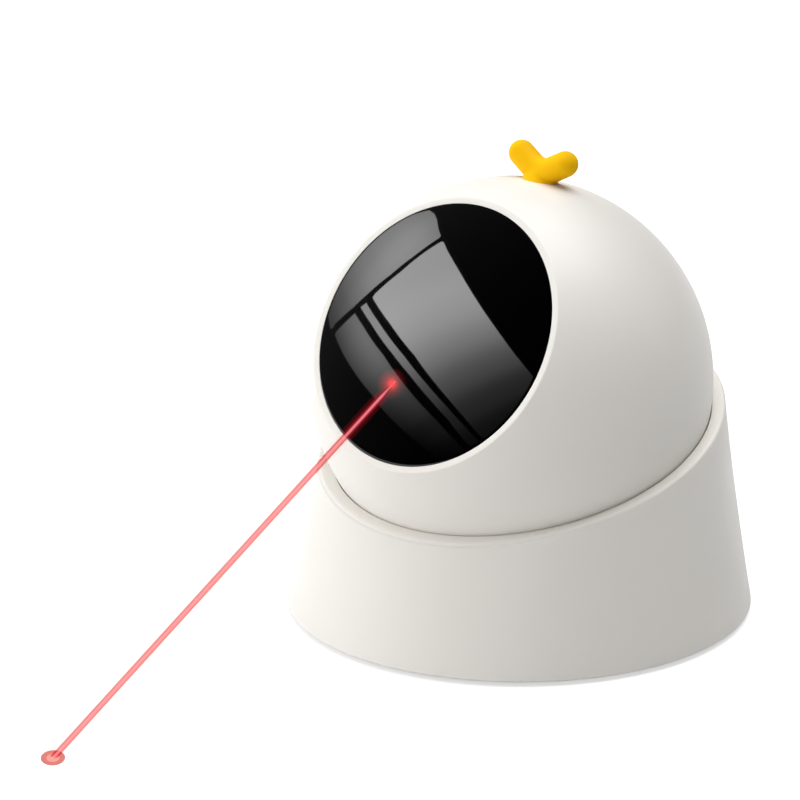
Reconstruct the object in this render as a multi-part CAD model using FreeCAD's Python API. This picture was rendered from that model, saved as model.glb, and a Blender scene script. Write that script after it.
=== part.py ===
"""Automatic cat laser toy: a ball head that pans and tilts in a round base.

Millimetres, +Z up, front is -Y, origin on the floor under the middle of the base.
The ball sits in a bowl behind a tilted collar. A turntable under the ball carries a fork,
and the head hangs on the fork's two pins. A motor in the base turns the turntable, and a
small motor in the head nods the laser behind the dark window.
"""
import FreeCAD
import Part
import math
import os

Vector = FreeCAD.Vector
ORIGIN = Vector(0, 0, 0)
X_AXIS = Vector(1, 0, 0)
Y_AXIS = Vector(0, 1, 0)
Z_AXIS = Vector(0, 0, 1)

# Ball head. The tilted collar and the seam of the ball share one lean.
BALL_R = 40.0
BALL_WALL = 2.0
BALL_Y = -2.7
BALL_Z = 48.4
INNER_R = BALL_R - BALL_WALL
COLLAR_LEAN = 15.3
SEAM_DROP = 16.0
SEAM_TONGUE = 2.0
SEAM_PLAY = 0.1

# Base: a round foot that narrows to the tilted collar.
FOOT_PROUD = 0.8
BASE_R = 46.35
BASE_WALL = 1.8
WAIST = 0.5
RIM_R = 40.95
RIM_DROP = 12.2
RIM_Y = BALL_Y + RIM_DROP * math.sin(math.radians(COLLAR_LEAN))
RIM_Z = BALL_Z - RIM_DROP * math.cos(math.radians(COLLAR_LEAN))
RIM_ROUND = 0.3
FOOT_ROUND = 0.5
COLLAR_DEPTH = 3.6
SOCKET_GAP = 0.3
SOCKET_R = BALL_R + SOCKET_GAP
BOWL_WALL = 1.4
BOWL_PLAY = 0.1
BOWL_FLOOR = -31.2

# Bottom cover, foot ring and the screws that hold the base together.
COVER_TOP = 2.8
COVER_PLAY = 0.2
COVER_TAPER = 0.45
FOOT_RING = (40.0, 43.4)
FOOT_RING_TOP = 1.7
COVER_SCREW_R = 37.0
COVER_SCREW_ANGLES = (45, 135, 225, 315)
PILLAR_PLACES = ((-12.0, -29.0), (12.0, -29.0), (0.0, 28.0))
PILLAR_R = 2.75
BOSS_R = 3.0
BOSS_TOP = 14.0
PILOT_R = 0.9
SMALL_PILOT_R = 0.8
SCREW_HEAD_R = 2.0
HEAD_RECESS_TOP = 1.8
COVER_SCREW_TIP = 10.8
BOWL_SCREW_TIP = 9.8
LOW_HEAD = 0.9

# Turntable under the ball, with its gear, and the motor that turns it.
SPIGOT_R = 4.0
SPIGOT_TOP = 6.8
RUNNING_PLAY = 0.05
THRUST_RING_TOP = 3.4
THRUST_WASHER_TOP = 3.9
WEB = (3.95, 5.75)
HUB_R = 7.0
DRUM = (20.5, 22.4)
GEAR_LEVEL = (10.6, 13.0)
PAN_MODULE = 0.8
PAN_TEETH = 60
PAN_PINION_TEETH = 20
PAN_DISTANCE = PAN_MODULE * (PAN_TEETH + PAN_PINION_TEETH) / 2 + 0.05
PAN_MOTOR_R = 7.5
PAN_MOTOR = (COVER_TOP, 9.8)
PAN_EAR_REACH = 11.5
PAN_EAR_THICK = 1.0
PAN_EAR_R = 2.4
PAN_POST_R = 2.2
SHAFT_R = 1.0

# Fork that carries the head, and its pins.
FOOT_PLATE_TOP = 7.35
ARM = (9.5, 12.0)
EYE_R = 5.0
PIN_R = 2.0
FRICTION_WASHER = 0.8
CHEEK_THICK = 2.5
CHEEK = (ARM[1] + FRICTION_WASHER + 0.05, ARM[1] + FRICTION_WASHER + 0.05 + CHEEK_THICK)
EYE_FLARE = 1.5
YOKE_FOOT = (18.0, 7.0)
YOKE_BRACE = (16.0, 19.5)
YOKE_SCREWS = ((-15.0, -4.0), (15.0, -4.0), (-15.0, 4.0), (15.0, 4.0))
OPENING_HALF_ANGLE = 34.0
OPENING_LEAN = -4.0

# Window: a shallow dome in a stepped round opening that looks up at this angle.
FACE_ELEVATION = 33.1
WINDOW_R = 26.9
WINDOW_EDGE = 28.2
WINDOW_SEAT = 26.2
WINDOW_WALL = 2.0
DOME_R = 85.0
LIP_ROUND = 0.3
LEDGE_R = 24.6
RING_R = 30.0
WINDOW_PLAY = 0.15

# Sprout on top of the ball.
SPROUT_LEAN = -12.6
LOBE_SPREAD = 5.55
LOBE_HEIGHT = 44.3
LOBE_R = 2.6
ARM_BEND_R = 3.8
ARM_LOW = 41.85
FOOT_LOW = 38.7
FOOT_TOP = 42.1
SPROUT_FOOT_R = 3.3
STEM_R = 1.65
STEM_FOOT = 36.5
BARB_R = 2.3
BARB_HIGH = 1.3

# Chassis plate in the head, drawn from the ball's centre.
PLATE = (10.0, 12.0)
CHASSIS_BOSSES = ((-27.5, 5.0), (27.5, 5.0), (-14.0, 24.0), (14.0, 24.0))
SHELL_SCREW_R = 33.0
SHELL_SCREW_ANGLES = (90, 210, 330)
SHELL_HEAD_SEAT = -17.6
PEG_PLACES = ((-7.0, 13.5), (-7.0, 24.5), (7.0, 13.5), (7.0, 24.5))
PEG_R = 0.9
DRIVER_LEVEL = (PLATE[1] + 1.5, PLATE[1] + 2.5)

# Laser unit: its frame is turned to one side, and the beam leaves through the window.
BEAM_YAW = -8.6
BEAM_DOWN = 32.7
BEAM_SIDE = 2.65
EXIT_Y = -33.56
EXIT_Z = 7.31
PIVOT_BEHIND_EXIT = 22.0
PIVOT_Y = EXIT_Y + PIVOT_BEHIND_EXIT * math.cos(math.radians(BEAM_DOWN))
PIVOT_Z = EXIT_Z + PIVOT_BEHIND_EXIT * math.sin(math.radians(BEAM_DOWN))
LASER_R = 3.0
LASER_HALF = 6.0
SLEEVE_R = 4.5
EAR = (5.0, 6.8)
STUB_R = 1.5
SECTOR = (7.1, 9.1)
SWING_MODULE = 0.5
SECTOR_TEETH = 42
SWING_PINION_TEETH = 14
SECTOR_HALF_ANGLE = 30.0
SWING_DISTANCE = SWING_MODULE * (SECTOR_TEETH + SWING_PINION_TEETH) / 2 + 0.05
SWING_MOTOR_R = 5.0
SWING_MOTOR = (10.0, 22.0)
SADDLE = (13.4, 18.4)
SADDLE_Y = (-10.0, 10.0)
STRAP_SCREW_INSET = 2.0
STRAP_THICK = 1.2

# Circuit board that stands at the back of the base, with what it carries.
BOARD_Y = (35.0, 36.2)
BOARD_X = (-15.5, 15.5)
BOARD_Z = (3.0, 25.0)
BOARD_SCREWS = ((-12.0, 21.0), (12.0, 6.6))
PORT_Z = 9.0
PORT_HALF = (4.5, 1.6)
PORT_MOUTH = 43.9
BUTTON_Z = 20.0
BUTTON_R = 4.0
BUTTON_FACE = 44.0
BUTTON_FLANGE = (39.7, 40.5)
SWITCH_TOP = 39.0
LIGHT_X = 8.0
LIGHT_R = 1.25
LIGHT_END = 42.9

# Battery cell beside the turntable.
CELL_X = (29.5, 35.5)
CELL_Y = (-17.0, 13.0)
CELL_Z = (COVER_TOP, 17.6)
TRAY_WALL = 1.2
TRAY_TOP = 6.8


def cylinder(radius, low, high, x=0.0, y=0.0):
    """Upright cylinder from one height to another."""
    return Part.makeCylinder(radius, high - low, Vector(x, y, low))


def cylinder_x(radius, low, high, y=0.0, z=0.0):
    """Cylinder along X."""
    return Part.makeCylinder(radius, high - low, Vector(low, y, z), X_AXIS)


def cylinder_y(radius, low, high, x=0.0, z=0.0):
    """Cylinder along Y."""
    return Part.makeCylinder(radius, high - low, Vector(x, low, z), Y_AXIS)


def block(x_span, y_span, z_span):
    """Box between two values on each axis."""
    size = (x_span[1] - x_span[0], y_span[1] - y_span[0], z_span[1] - z_span[0])
    return Part.makeBox(*size, Vector(x_span[0], y_span[0], z_span[0]))


def both_ways(reach):
    """Pair of values, this far to each side of zero."""
    return (-reach, reach)


def widened(span, extra):
    """Pair of values, moved apart by this much at each end."""
    return (span[0] - extra, span[1] + extra)


def sphere(radius, centre_z=0.0):
    """Whole sphere on the Z axis."""
    return Part.makeSphere(radius, Vector(0, 0, centre_z))


def fused(first, *others):
    """One solid from several, without leftover edges."""
    return first.fuse(list(others)).removeSplitter()


def revolved(points):
    """Solid turned about Z from (radius, height) points."""
    corners = [Vector(radius, 0, height) for radius, height in points]
    outline = Part.makePolygon(corners + corners[:1])
    return Part.Face(outline).revolve(ORIGIN, Z_AXIS, 360)


def prism(points, low, high):
    """Upright prism on an (x, y) outline."""
    corners = [Vector(x, y, low) for x, y in points]
    return Part.Face(Part.makePolygon(corners + corners[:1])).extrude(Vector(0, 0, high - low))


def prism_x(points, low, high):
    """Prism along X on a (y, z) outline."""
    corners = [Vector(low, y, z) for y, z in points]
    return Part.Face(Part.makePolygon(corners + corners[:1])).extrude(Vector(high - low, 0, 0))


def tipped(shape, degrees):
    """Copy turned about X through the origin: positive leans the top to the front."""
    copy = shape.copy()
    copy.rotate(ORIGIN, X_AXIS, degrees)
    return copy


def spun(shape, degrees):
    """Copy turned about Z through the origin."""
    copy = shape.copy()
    copy.rotate(ORIGIN, Z_AXIS, degrees)
    return copy


def shifted(shape, x=0.0, y=0.0, z=0.0):
    """Copy moved in a straight line."""
    copy = shape.copy()
    copy.translate(Vector(x, y, z))
    return copy


def in_ball(shape):
    """Piece drawn about the ball's centre, put in its place."""
    return shifted(shape, 0, BALL_Y, BALL_Z)


def on_pan_axis(shape):
    """Piece drawn about the Z axis, moved to the axis that the head pans about."""
    return shifted(shape, 0, BALL_Y, 0)


def collared(shape):
    """Piece drawn upright about the ball's centre, leaned with the collar."""
    return tipped(shape, COLLAR_LEAN)


def faced(shape):
    """Piece drawn upright about the ball's centre, turned to look out of the window."""
    return tipped(shape, 90 - FACE_ELEVATION)


def in_laser_unit(shape):
    """Piece drawn in the laser unit's frame, turned to the side the beam points."""
    return spun(shape, BEAM_YAW)


def screw(x, y, seat, head_high, tip, head_r=1.8, shank_r=SMALL_PILOT_R):
    """Upright screw: the head starts at its seat, the shank runs from there to its tip."""
    head = cylinder(head_r, min(seat, seat + head_high), max(seat, seat + head_high), x, y)
    shank = cylinder(shank_r, min(seat, tip), max(seat, tip), x, y)
    return head.fuse(shank)


def gear(module, teeth, thickness, play=0.06, addendum=1.0):
    """Involute spur gear about Z, from z = 0, with a tooth pointing along +X.

    Play is how much thinner each tooth is than the gap it runs in, along the pitch circle.
    """
    pressure = math.radians(20)
    pitch_r = module * teeth / 2
    base_r = pitch_r * math.cos(pressure)
    tip_r = pitch_r + addendum * module
    root_r = pitch_r - 1.25 * module
    half = math.pi / (2 * teeth) - play / (2 * pitch_r)

    def involute(angle):
        return math.tan(angle) - angle

    def side(radius):
        angle = math.acos(min(1.0, base_r / radius))
        return half + involute(pressure) - involute(angle)

    def point(radius, angle):
        return Vector(radius * math.cos(angle), radius * math.sin(angle), 0)

    def arc(first, middle, last):
        return Part.Arc(first, middle, last).toShape()

    flank_r = max(base_r, root_r)
    middle_r = (flank_r + tip_r) / 2
    edges = []
    for tooth in range(teeth):
        centre = 2 * math.pi * tooth / teeth
        after = centre + 2 * math.pi / teeth
        rise = [point(radius, centre - side(radius)) for radius in (flank_r, middle_r, tip_r)]
        fall = [point(radius, centre + side(radius)) for radius in (tip_r, middle_r, flank_r)]
        root_low = point(root_r, centre - side(flank_r))
        root_high = point(root_r, centre + side(flank_r))
        next_low = point(root_r, after - side(flank_r))
        if flank_r > root_r:
            edges.append(Part.makeLine(root_low, rise[0]))
        edges.append(arc(*rise))
        edges.append(arc(rise[2], point(tip_r, centre), fall[0]))
        edges.append(arc(*fall))
        if flank_r > root_r:
            edges.append(Part.makeLine(fall[2], root_high))
        edges.append(arc(root_high, point(root_r, (centre + after) / 2), next_low))
    return Part.Face(Part.Wire(edges)).extrude(Vector(0, 0, thickness))


def base_slice(share, inset):
    """Round slice of the base's wall, from the bottom (share 0) to the tilted rim (share 1)."""
    bow = 4 * WAIST * share * (1 - share)
    radius = BASE_R + (RIM_R - BASE_R) * share - bow - inset
    circle = Part.Wire(Part.makeCircle(radius))
    circle.rotate(ORIGIN, X_AXIS, COLLAR_LEAN * share)
    circle.translate(Vector(0, RIM_Y * share, FOOT_PROUD + (RIM_Z - FOOT_PROUD) * share))
    return circle


def base_form(inset, shares):
    """Solid form of the base, this far inside its outer wall."""
    return Part.makeLoft([base_slice(share, inset) for share in shares], True)


def below_collar(depth):
    """All that lies lower than this depth under the rim's plane."""
    top = -(RIM_DROP + depth)
    return in_ball(collared(block((-90, 90), (-90, 90), (top - 120, top))))


def round_slot(half_width, half_height, y_span, z):
    """Slot with round ends, cut along Y."""
    reach = half_width - half_height
    middle = block((-reach, reach), y_span, (z - half_height, z + half_height))
    left = cylinder_y(half_height, y_span[0], y_span[1], -reach, z)
    right = cylinder_y(half_height, y_span[0], y_span[1], reach, z)
    return fused(middle, left, right)


def cover_screw_places():
    """Places of the four screws that hold the bottom cover."""
    turns = [math.radians(angle) for angle in COVER_SCREW_ANGLES]
    return [(COVER_SCREW_R * math.cos(turn), COVER_SCREW_R * math.sin(turn)) for turn in turns]


def base_shell():
    """Outer shell with its collar, screw bosses and the holes at the back."""
    form = base_form(0, (0, 0.33, 0.67, 1))
    rims = [edge for edge in form.Edges if edge.isClosed()]
    rim = max(rims, key=lambda edge: edge.BoundBox.ZMax)
    foot = min(rims, key=lambda edge: edge.BoundBox.ZMax)
    form = form.makeFillet(RIM_ROUND, [rim]).makeFillet(FOOT_ROUND, [foot])
    hollow = base_form(BASE_WALL, (-0.05, 0.33, 0.67, 1)).common(below_collar(COLLAR_DEPTH))
    shell = form.cut(hollow).cut(in_ball(sphere(SOCKET_R)))
    for angle in COVER_SCREW_ANGLES:
        boss = cylinder(BOSS_R, COVER_TOP, BOSS_TOP, COVER_SCREW_R)
        rib = block((COVER_SCREW_R, BASE_R), (-0.8, 0.8), (COVER_TOP, BOSS_TOP))
        pilot = cylinder(PILOT_R, COVER_TOP - 1, BOSS_TOP - 2, COVER_SCREW_R)
        boss = spun(boss.fuse(rib).cut(pilot), angle).common(form)
        shell = shell.fuse(boss)
    for x, z in BOARD_SCREWS:
        boss = cylinder_y(2.5, BOARD_Y[1], BASE_R, x, z).common(form)
        shell = shell.fuse(boss).cut(cylinder_y(SMALL_PILOT_R, BOARD_Y[1] - 1, BOARD_Y[1] + 4, x, z))
    through = (BOARD_Y[1] + 2, BASE_R + 2)
    shell = shell.cut(round_slot(PORT_HALF[0] + 0.3, PORT_HALF[1] + 0.3, through, PORT_Z))
    shell = shell.cut(cylinder_y(BUTTON_R + 0.15, *through, 0, BUTTON_Z))
    shell = shell.cut(cylinder_y(LIGHT_R + 0.05, *through, LIGHT_X, BUTTON_Z))
    return shell.removeSplitter()


def socket_bowl():
    """Round bowl behind the collar, on three pillars, that hides the works under the ball."""
    wall = sphere(SOCKET_R + BOWL_WALL).cut(sphere(SOCKET_R))
    below_seat = collared(block((-90, 90), (-90, 90), (-120, -(RIM_DROP + COLLAR_DEPTH) - 0.05)))
    above_floor = block((-90, 90), (-90, 90), (BOWL_FLOOR, 60))
    bowl = in_ball(wall.common(below_seat).common(above_floor))
    bowl = bowl.common(base_form(BASE_WALL + BOWL_PLAY, (-0.05, 0.33, 0.67, 1)))
    core = in_ball(sphere(SOCKET_R + BOWL_WALL / 2))
    for x, y in PILLAR_PLACES:
        pillar = cylinder(PILLAR_R, COVER_TOP, 30, x, y).cut(core)
        pillar = [solid for solid in pillar.Solids if solid.BoundBox.ZMin < COVER_TOP + 1][0]
        bowl = bowl.fuse(pillar).cut(cylinder(PILOT_R, COVER_TOP - 1, 12, x, y))
    return bowl.removeSplitter()


def pan_ear_places():
    """Places of the two ears that hold the pan motor."""
    return [(-PAN_DISTANCE, BALL_Y - PAN_EAR_REACH), (-PAN_DISTANCE, BALL_Y + PAN_EAR_REACH)]


def bottom_cover():
    """Bottom cover with the turntable's spigot, the motor's posts and the battery's tray."""
    edge_r = BASE_R - BASE_WALL - COVER_PLAY
    thickness = COVER_TOP - FOOT_PROUD
    cover = Part.makeCone(edge_r, edge_r - COVER_TAPER, thickness, Vector(0, 0, FOOT_PROUD))
    groove = cylinder(FOOT_RING[1], 0, FOOT_RING_TOP).cut(cylinder(FOOT_RING[0], 0, FOOT_RING_TOP))
    cover = cover.cut(groove)
    ring = on_pan_axis(cylinder(2 * SPIGOT_R, COVER_TOP - 0.5, THRUST_RING_TOP))
    spigot = on_pan_axis(cylinder(SPIGOT_R, COVER_TOP - 0.5, SPIGOT_TOP))
    ear_seat = PAN_MOTOR[1] - PAN_EAR_THICK
    posts = [cylinder(PAN_POST_R, COVER_TOP - 0.5, ear_seat, x, y) for x, y in pan_ear_places()]
    tray = block(widened(CELL_X, TRAY_WALL), widened(CELL_Y, TRAY_WALL), (COVER_TOP - 0.5, TRAY_TOP))
    well = block(widened(CELL_X, 0.1), widened(CELL_Y, 0.1), (COVER_TOP, TRAY_TOP + 1))
    cover = fused(cover, ring, spigot, *posts, tray).cut(well)
    cover = cover.cut(on_pan_axis(cylinder(PILOT_R, FOOT_PROUD + 1, SPIGOT_TOP + 1)))
    for x, y in cover_screw_places() + list(PILLAR_PLACES):
        hole = cylinder(PILOT_R + 0.2, 0, COVER_TOP + 1, x, y)
        recess = cylinder(SCREW_HEAD_R + 0.15, 0, HEAD_RECESS_TOP, x, y)
        cover = cover.cut(hole.fuse(recess))
    for x, y in pan_ear_places():
        cover = cover.cut(cylinder(SMALL_PILOT_R, COVER_TOP, PAN_MOTOR[1], x, y))
    return cover.removeSplitter()


def foot_ring():
    """Soft ring that the toy stands on, set in the cover's groove."""
    return cylinder(FOOT_RING[1], 0, FOOT_RING_TOP).cut(cylinder(FOOT_RING[0], 0, FOOT_RING_TOP))


def cover_screws():
    """Four screws from below, through the cover into the shell's bosses."""
    seat, tip = HEAD_RECESS_TOP, COVER_SCREW_TIP
    places = cover_screw_places()
    return [screw(x, y, seat, -LOW_HEAD, tip, SCREW_HEAD_R, PILOT_R) for x, y in places]


def bowl_screws():
    """Three screws from below, through the cover into the bowl's pillars."""
    seat, tip = HEAD_RECESS_TOP, BOWL_SCREW_TIP
    return [screw(x, y, seat, -LOW_HEAD, tip, SCREW_HEAD_R, PILOT_R) for x, y in PILLAR_PLACES]


def thrust_washer():
    """Slippery washer that the turntable rests and turns on."""
    washer = cylinder(2 * SPIGOT_R, THRUST_RING_TOP, THRUST_WASHER_TOP)
    return on_pan_axis(washer.cut(cylinder(SPIGOT_R + 0.1, 0, 10)))


def retaining_washer():
    """Washer on top of the spigot that keeps the turntable down."""
    washer = cylinder(HUB_R - 0.5, SPIGOT_TOP, SPIGOT_TOP + 0.5)
    return on_pan_axis(washer.cut(cylinder(PILOT_R, 0, 10)))


def retaining_screw():
    """Screw down the middle of the spigot."""
    return on_pan_axis(screw(0, 0, SPIGOT_TOP + 0.5, 1.4, FOOT_PROUD + 2, 2.6, PILOT_R))


def turntable():
    """Dished turntable: hub, web and drum, with the ring of teeth near its top."""
    bore = SPIGOT_R + RUNNING_PLAY
    outline = [(bore, WEB[0]), (DRUM[1], WEB[0]), (DRUM[1], GEAR_LEVEL[1]), (DRUM[0], GEAR_LEVEL[1])]
    outline += [(DRUM[0], WEB[1]), (HUB_R, WEB[1]), (HUB_R, SPIGOT_TOP - 0.05), (bore, SPIGOT_TOP - 0.05)]
    dish = revolved(outline)
    teeth = gear(PAN_MODULE, PAN_TEETH, GEAR_LEVEL[1] - GEAR_LEVEL[0])
    rim = shifted(teeth, z=GEAR_LEVEL[0]).cut(cylinder((DRUM[0] + DRUM[1]) / 2, 0, 20))
    dish = fused(dish, rim)
    for angle in range(30, 360, 60):
        dish = dish.cut(spun(cylinder(2.8, 0, 10, 14.2), angle))
    for x, y in YOKE_SCREWS:
        dish = dish.cut(cylinder(SMALL_PILOT_R, 0, 10, x, y))
    return on_pan_axis(dish)


def tilt_yoke():
    """Fork on the turntable: a foot plate and two arms with an eye at the ball's centre."""
    plate = block(both_ways(YOKE_FOOT[0]), both_ways(YOKE_FOOT[1]), (WEB[1], FOOT_PLATE_TOP))
    plate = plate.cut(cylinder(HUB_R + 0.5, 0, 10))
    pieces = []
    for side in (-1, 1):
        span = sorted((side * ARM[0], side * ARM[1]))
        foot_half = EYE_R + EYE_FLARE
        taper = [(-foot_half, WEB[1]), (foot_half, WEB[1]), (EYE_R, BALL_Z), (-EYE_R, BALL_Z)]
        pieces.append(prism_x(taper, *span))
        pieces.append(cylinder_x(EYE_R, *span, 0, BALL_Z))
    brace = block(both_ways(ARM[0]), both_ways(1.5), YOKE_BRACE)
    yoke = fused(plate, brace, *pieces)
    yoke = yoke.cut(cylinder_x(PIN_R + RUNNING_PLAY, -20, 20, 0, BALL_Z))
    for x, y in YOKE_SCREWS:
        yoke = yoke.cut(cylinder(PILOT_R + 0.1, 0, 10, x, y))
    return on_pan_axis(yoke)


def yoke_screws():
    """Four screws that hold the fork on the turntable."""
    return [on_pan_axis(screw(x, y, FOOT_PLATE_TOP, 1.2, WEB[0])) for x, y in YOKE_SCREWS]


def friction_washers():
    """Soft washers between the arms and the head's cheeks, which hold the tilt."""
    washers = []
    for side in (-1, 1):
        span = sorted((side * ARM[1], side * (ARM[1] + FRICTION_WASHER)))
        washers.append(cylinder_x(EYE_R, *span).cut(cylinder_x(PIN_R + 0.1, -20, 20)))
    return [in_ball(washer) for washer in washers]


def pan_motor():
    """Can motor with two ears, shaft up, beside the turntable."""
    can = cylinder(PAN_MOTOR_R, *PAN_MOTOR)
    level = (PAN_MOTOR[1] - PAN_EAR_THICK, PAN_MOTOR[1])
    ears = [cylinder(PAN_EAR_R, *level, 0, y) for y in both_ways(PAN_EAR_REACH)]
    bar = block(both_ways(PAN_EAR_R), both_ways(PAN_EAR_REACH), level)
    motor = fused(can, bar, *ears)
    motor = motor.cut(cylinder(SHAFT_R + RUNNING_PLAY, PAN_MOTOR[1] - 4, 12))
    for side in (-1, 1):
        motor = motor.cut(cylinder(PILOT_R + 0.1, 0, 12, 0, side * PAN_EAR_REACH))
    return shifted(motor, -PAN_DISTANCE, BALL_Y)


def pan_motor_screws():
    """Two screws through the pan motor's ears."""
    return [screw(x, y, PAN_MOTOR[1], 1.2, COVER_TOP + 1, 1.6) for x, y in pan_ear_places()]


def pan_shaft():
    """Shaft of the pan motor."""
    return shifted(cylinder(SHAFT_R, PAN_MOTOR[1] - 3.9, GEAR_LEVEL[1] + 0.2), -PAN_DISTANCE, BALL_Y)


def pan_pinion():
    """Pinion that drives the turntable's teeth."""
    low, high = GEAR_LEVEL[0] - 0.3, GEAR_LEVEL[1] - 0.1
    pinion = shifted(gear(PAN_MODULE, PAN_PINION_TEETH, high - low), z=low)
    pinion = spun(pinion, 180 / PAN_PINION_TEETH).cut(cylinder(SHAFT_R, 0, 20))
    return shifted(pinion, -PAN_DISTANCE, BALL_Y)


def lipped_ball():
    """Ball with a flat cut where the window goes, which leaves a narrow round lip."""
    ball = sphere(BALL_R).cut(cylinder(BALL_R, WINDOW_EDGE, BALL_R + 1))
    lip = [edge for edge in ball.Edges if edge.isClosed() and edge.BoundBox.ZMin > WINDOW_EDGE - 0.01]
    return faced(ball.makeFillet(LIP_ROUND, lip[:1]))


def window_hole():
    """What the window and its ledge take out of the ball."""
    top = BALL_R + 10
    seat = cylinder(WINDOW_R + WINDOW_PLAY, WINDOW_SEAT, top)
    hole = cylinder(LEDGE_R, 20, top)
    return faced(seat.fuse(hole))


def shell_screw_spots():
    """Places of the three screws across the ball's seam, in the collar's frame."""
    turns = [math.radians(angle) for angle in SHELL_SCREW_ANGLES]
    return [(SHELL_SCREW_R * math.cos(turn), SHELL_SCREW_R * math.sin(turn)) for turn in turns]


def ball_upper_shell():
    """Upper shell of the head, with the window's ledge and the bosses that hold the works."""
    wall = lipped_ball().cut(sphere(INNER_R))
    ring = faced(cylinder(RING_R, 24.4, WINDOW_EDGE - 0.2).common(sphere(BALL_R - 0.1)))
    above_seam = collared(block((-90, 90), (-90, 90), (-SEAM_DROP, 90)))
    shell = wall.fuse(ring).common(above_seam)
    core = sphere(INNER_R + BALL_WALL / 2)
    for x, y in CHASSIS_BOSSES:
        boss = cylinder(PILLAR_R, PLATE[1], BALL_R, x, y).common(core)
        shell = shell.fuse(boss).cut(cylinder(SMALL_PILOT_R, 0, PLATE[1] + 9, x, y))
    for x, y in shell_screw_spots():
        boss = cylinder(BOSS_R, -SEAM_DROP, -SEAM_DROP + 9, x, y).common(core)
        pilot = cylinder(SMALL_PILOT_R, -SEAM_DROP - 1, -SEAM_DROP + 7, x, y)
        shell = shell.fuse(collared(boss)).cut(collared(pilot))
    stem_hole = tipped(cylinder(STEM_R + 0.05, INNER_R - 2, BALL_R + 2), SPROUT_LEAN)
    shell = shell.cut(window_hole()).cut(stem_hole)
    return in_ball(shell.removeSplitter())


def ball_lower_shell():
    """Lower shell of the head: a tongue at its seam and an opening that the fork stands in."""
    wall = sphere(BALL_R).cut(sphere(INNER_R))
    wall = wall.common(collared(block((-90, 90), (-90, 90), (-90, -SEAM_DROP))))
    tongue_r = INNER_R - SEAM_PLAY
    tongue = sphere(tongue_r).cut(sphere(tongue_r - 1.2))
    tongue = tongue.common(block((-90, 90), (-90, 90), (-SEAM_DROP - 2, -SEAM_DROP + SEAM_TONGUE)))
    skirt = sphere(INNER_R + 0.5).cut(sphere(tongue_r - 1.2))
    skirt = skirt.common(block((-90, 90), (-90, 90), (-SEAM_DROP - 2, -SEAM_DROP)))
    tongue = tongue.fuse(skirt)
    posts = []
    for x, y in shell_screw_spots():
        tongue = tongue.cut(cylinder(BOSS_R + 0.2, -SEAM_DROP, 0, x, y))
        post = cylinder(BOSS_R, -BALL_R, -SEAM_DROP, x, y).common(sphere(INNER_R + BALL_WALL / 2))
        posts.append(collared(post))
    shell = fused(wall, collared(tongue), *posts)
    for x, y in shell_screw_spots():
        hole = cylinder(PILOT_R + 0.1, -BALL_R, 0, x, y)
        recess = cylinder(SCREW_HEAD_R + 0.2, -BALL_R, SHELL_HEAD_SEAT, x, y)
        shell = shell.cut(collared(hole.fuse(recess)))
    reach = 45.0
    spread = reach * math.tan(math.radians(OPENING_HALF_ANGLE))
    opening = Part.makeCone(0, spread, reach, ORIGIN, Vector(0, 0, -1))
    shell = shell.cut(tipped(opening, OPENING_LEAN))
    return in_ball(shell.removeSplitter())


def shell_screws():
    """Three screws from below, across the ball's seam."""
    seat = SHELL_HEAD_SEAT
    screws = [screw(x, y, seat, -1.3, -SEAM_DROP + 6.5, SCREW_HEAD_R) for x, y in shell_screw_spots()]
    return [in_ball(collared(item)) for item in screws]


def window():
    """Dark window: a shallow dome with a flat edge that sits on the ledge."""
    centre_z = WINDOW_EDGE - math.sqrt(DOME_R ** 2 - WINDOW_R ** 2)
    outside = cylinder(WINDOW_R, WINDOW_SEAT, 40).common(sphere(DOME_R, centre_z))
    inside = cylinder(WINDOW_R - 2.1, 10, 40).common(sphere(DOME_R - WINDOW_WALL, centre_z))
    return in_ball(faced(outside.cut(inside)))


def sprout():
    """Two-lobed sprout: a V of two round arms on a short foot, with a stem and barb."""
    middle = Vector(0, 0, ARM_LOW + ARM_BEND_R)
    drop = middle.z - LOBE_HEIGHT
    half_turn = math.asin(ARM_BEND_R / math.hypot(LOBE_SPREAD, drop)) - math.atan2(drop, LOBE_SPREAD)
    section = Part.Face(Part.Wire(Part.makeCircle(LOBE_R, Vector(0, 0, ARM_LOW), X_AXIS)))
    section.rotate(middle, Y_AXIS, math.degrees(half_turn))
    pieces = [section.revolve(middle, Y_AXIS, -2 * math.degrees(half_turn))]
    for side in (-1, 1):
        lobe = Vector(side * LOBE_SPREAD, 0, LOBE_HEIGHT)
        bend = Vector(side * math.sin(half_turn), 0, -math.cos(half_turn)) * ARM_BEND_R
        along = lobe - middle - bend
        pieces.append(Part.makeCylinder(LOBE_R, along.Length, middle + bend, along))
        pieces.append(Part.makeSphere(LOBE_R, lobe))
    foot = Part.makeCone(SPROUT_FOOT_R, LOBE_R, FOOT_TOP - FOOT_LOW, Vector(0, 0, FOOT_LOW))
    top = fused(foot, *pieces).cut(sphere(BALL_R))
    stem = cylinder(STEM_R, STEM_FOOT + 0.1, ARM_LOW)
    barb = Part.makeCone(STEM_R, BARB_R, BARB_HIGH, Vector(0, 0, STEM_FOOT))
    whole = fused(top, stem, barb)
    return in_ball(tipped(whole, SPROUT_LEAN))


def laser_ears():
    """Two ears of the chassis that the laser's cradle swings between."""
    ears = []
    for side in (-1, 1):
        low, high = sorted((BEAM_SIDE + side * EAR[0], BEAM_SIDE + side * EAR[1]))
        web = block((low, high), (PIVOT_Y - 3.4, PIVOT_Y + 3.4), (PLATE[0], PIVOT_Z))
        arm = block((low, high), (PIVOT_Y - 3.4, 2), PLATE)
        ears += [web, arm, cylinder_x(3.4, low, high, PIVOT_Y, PIVOT_Z)]
    return fused(*ears[:3]), fused(*ears[3:])


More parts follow.
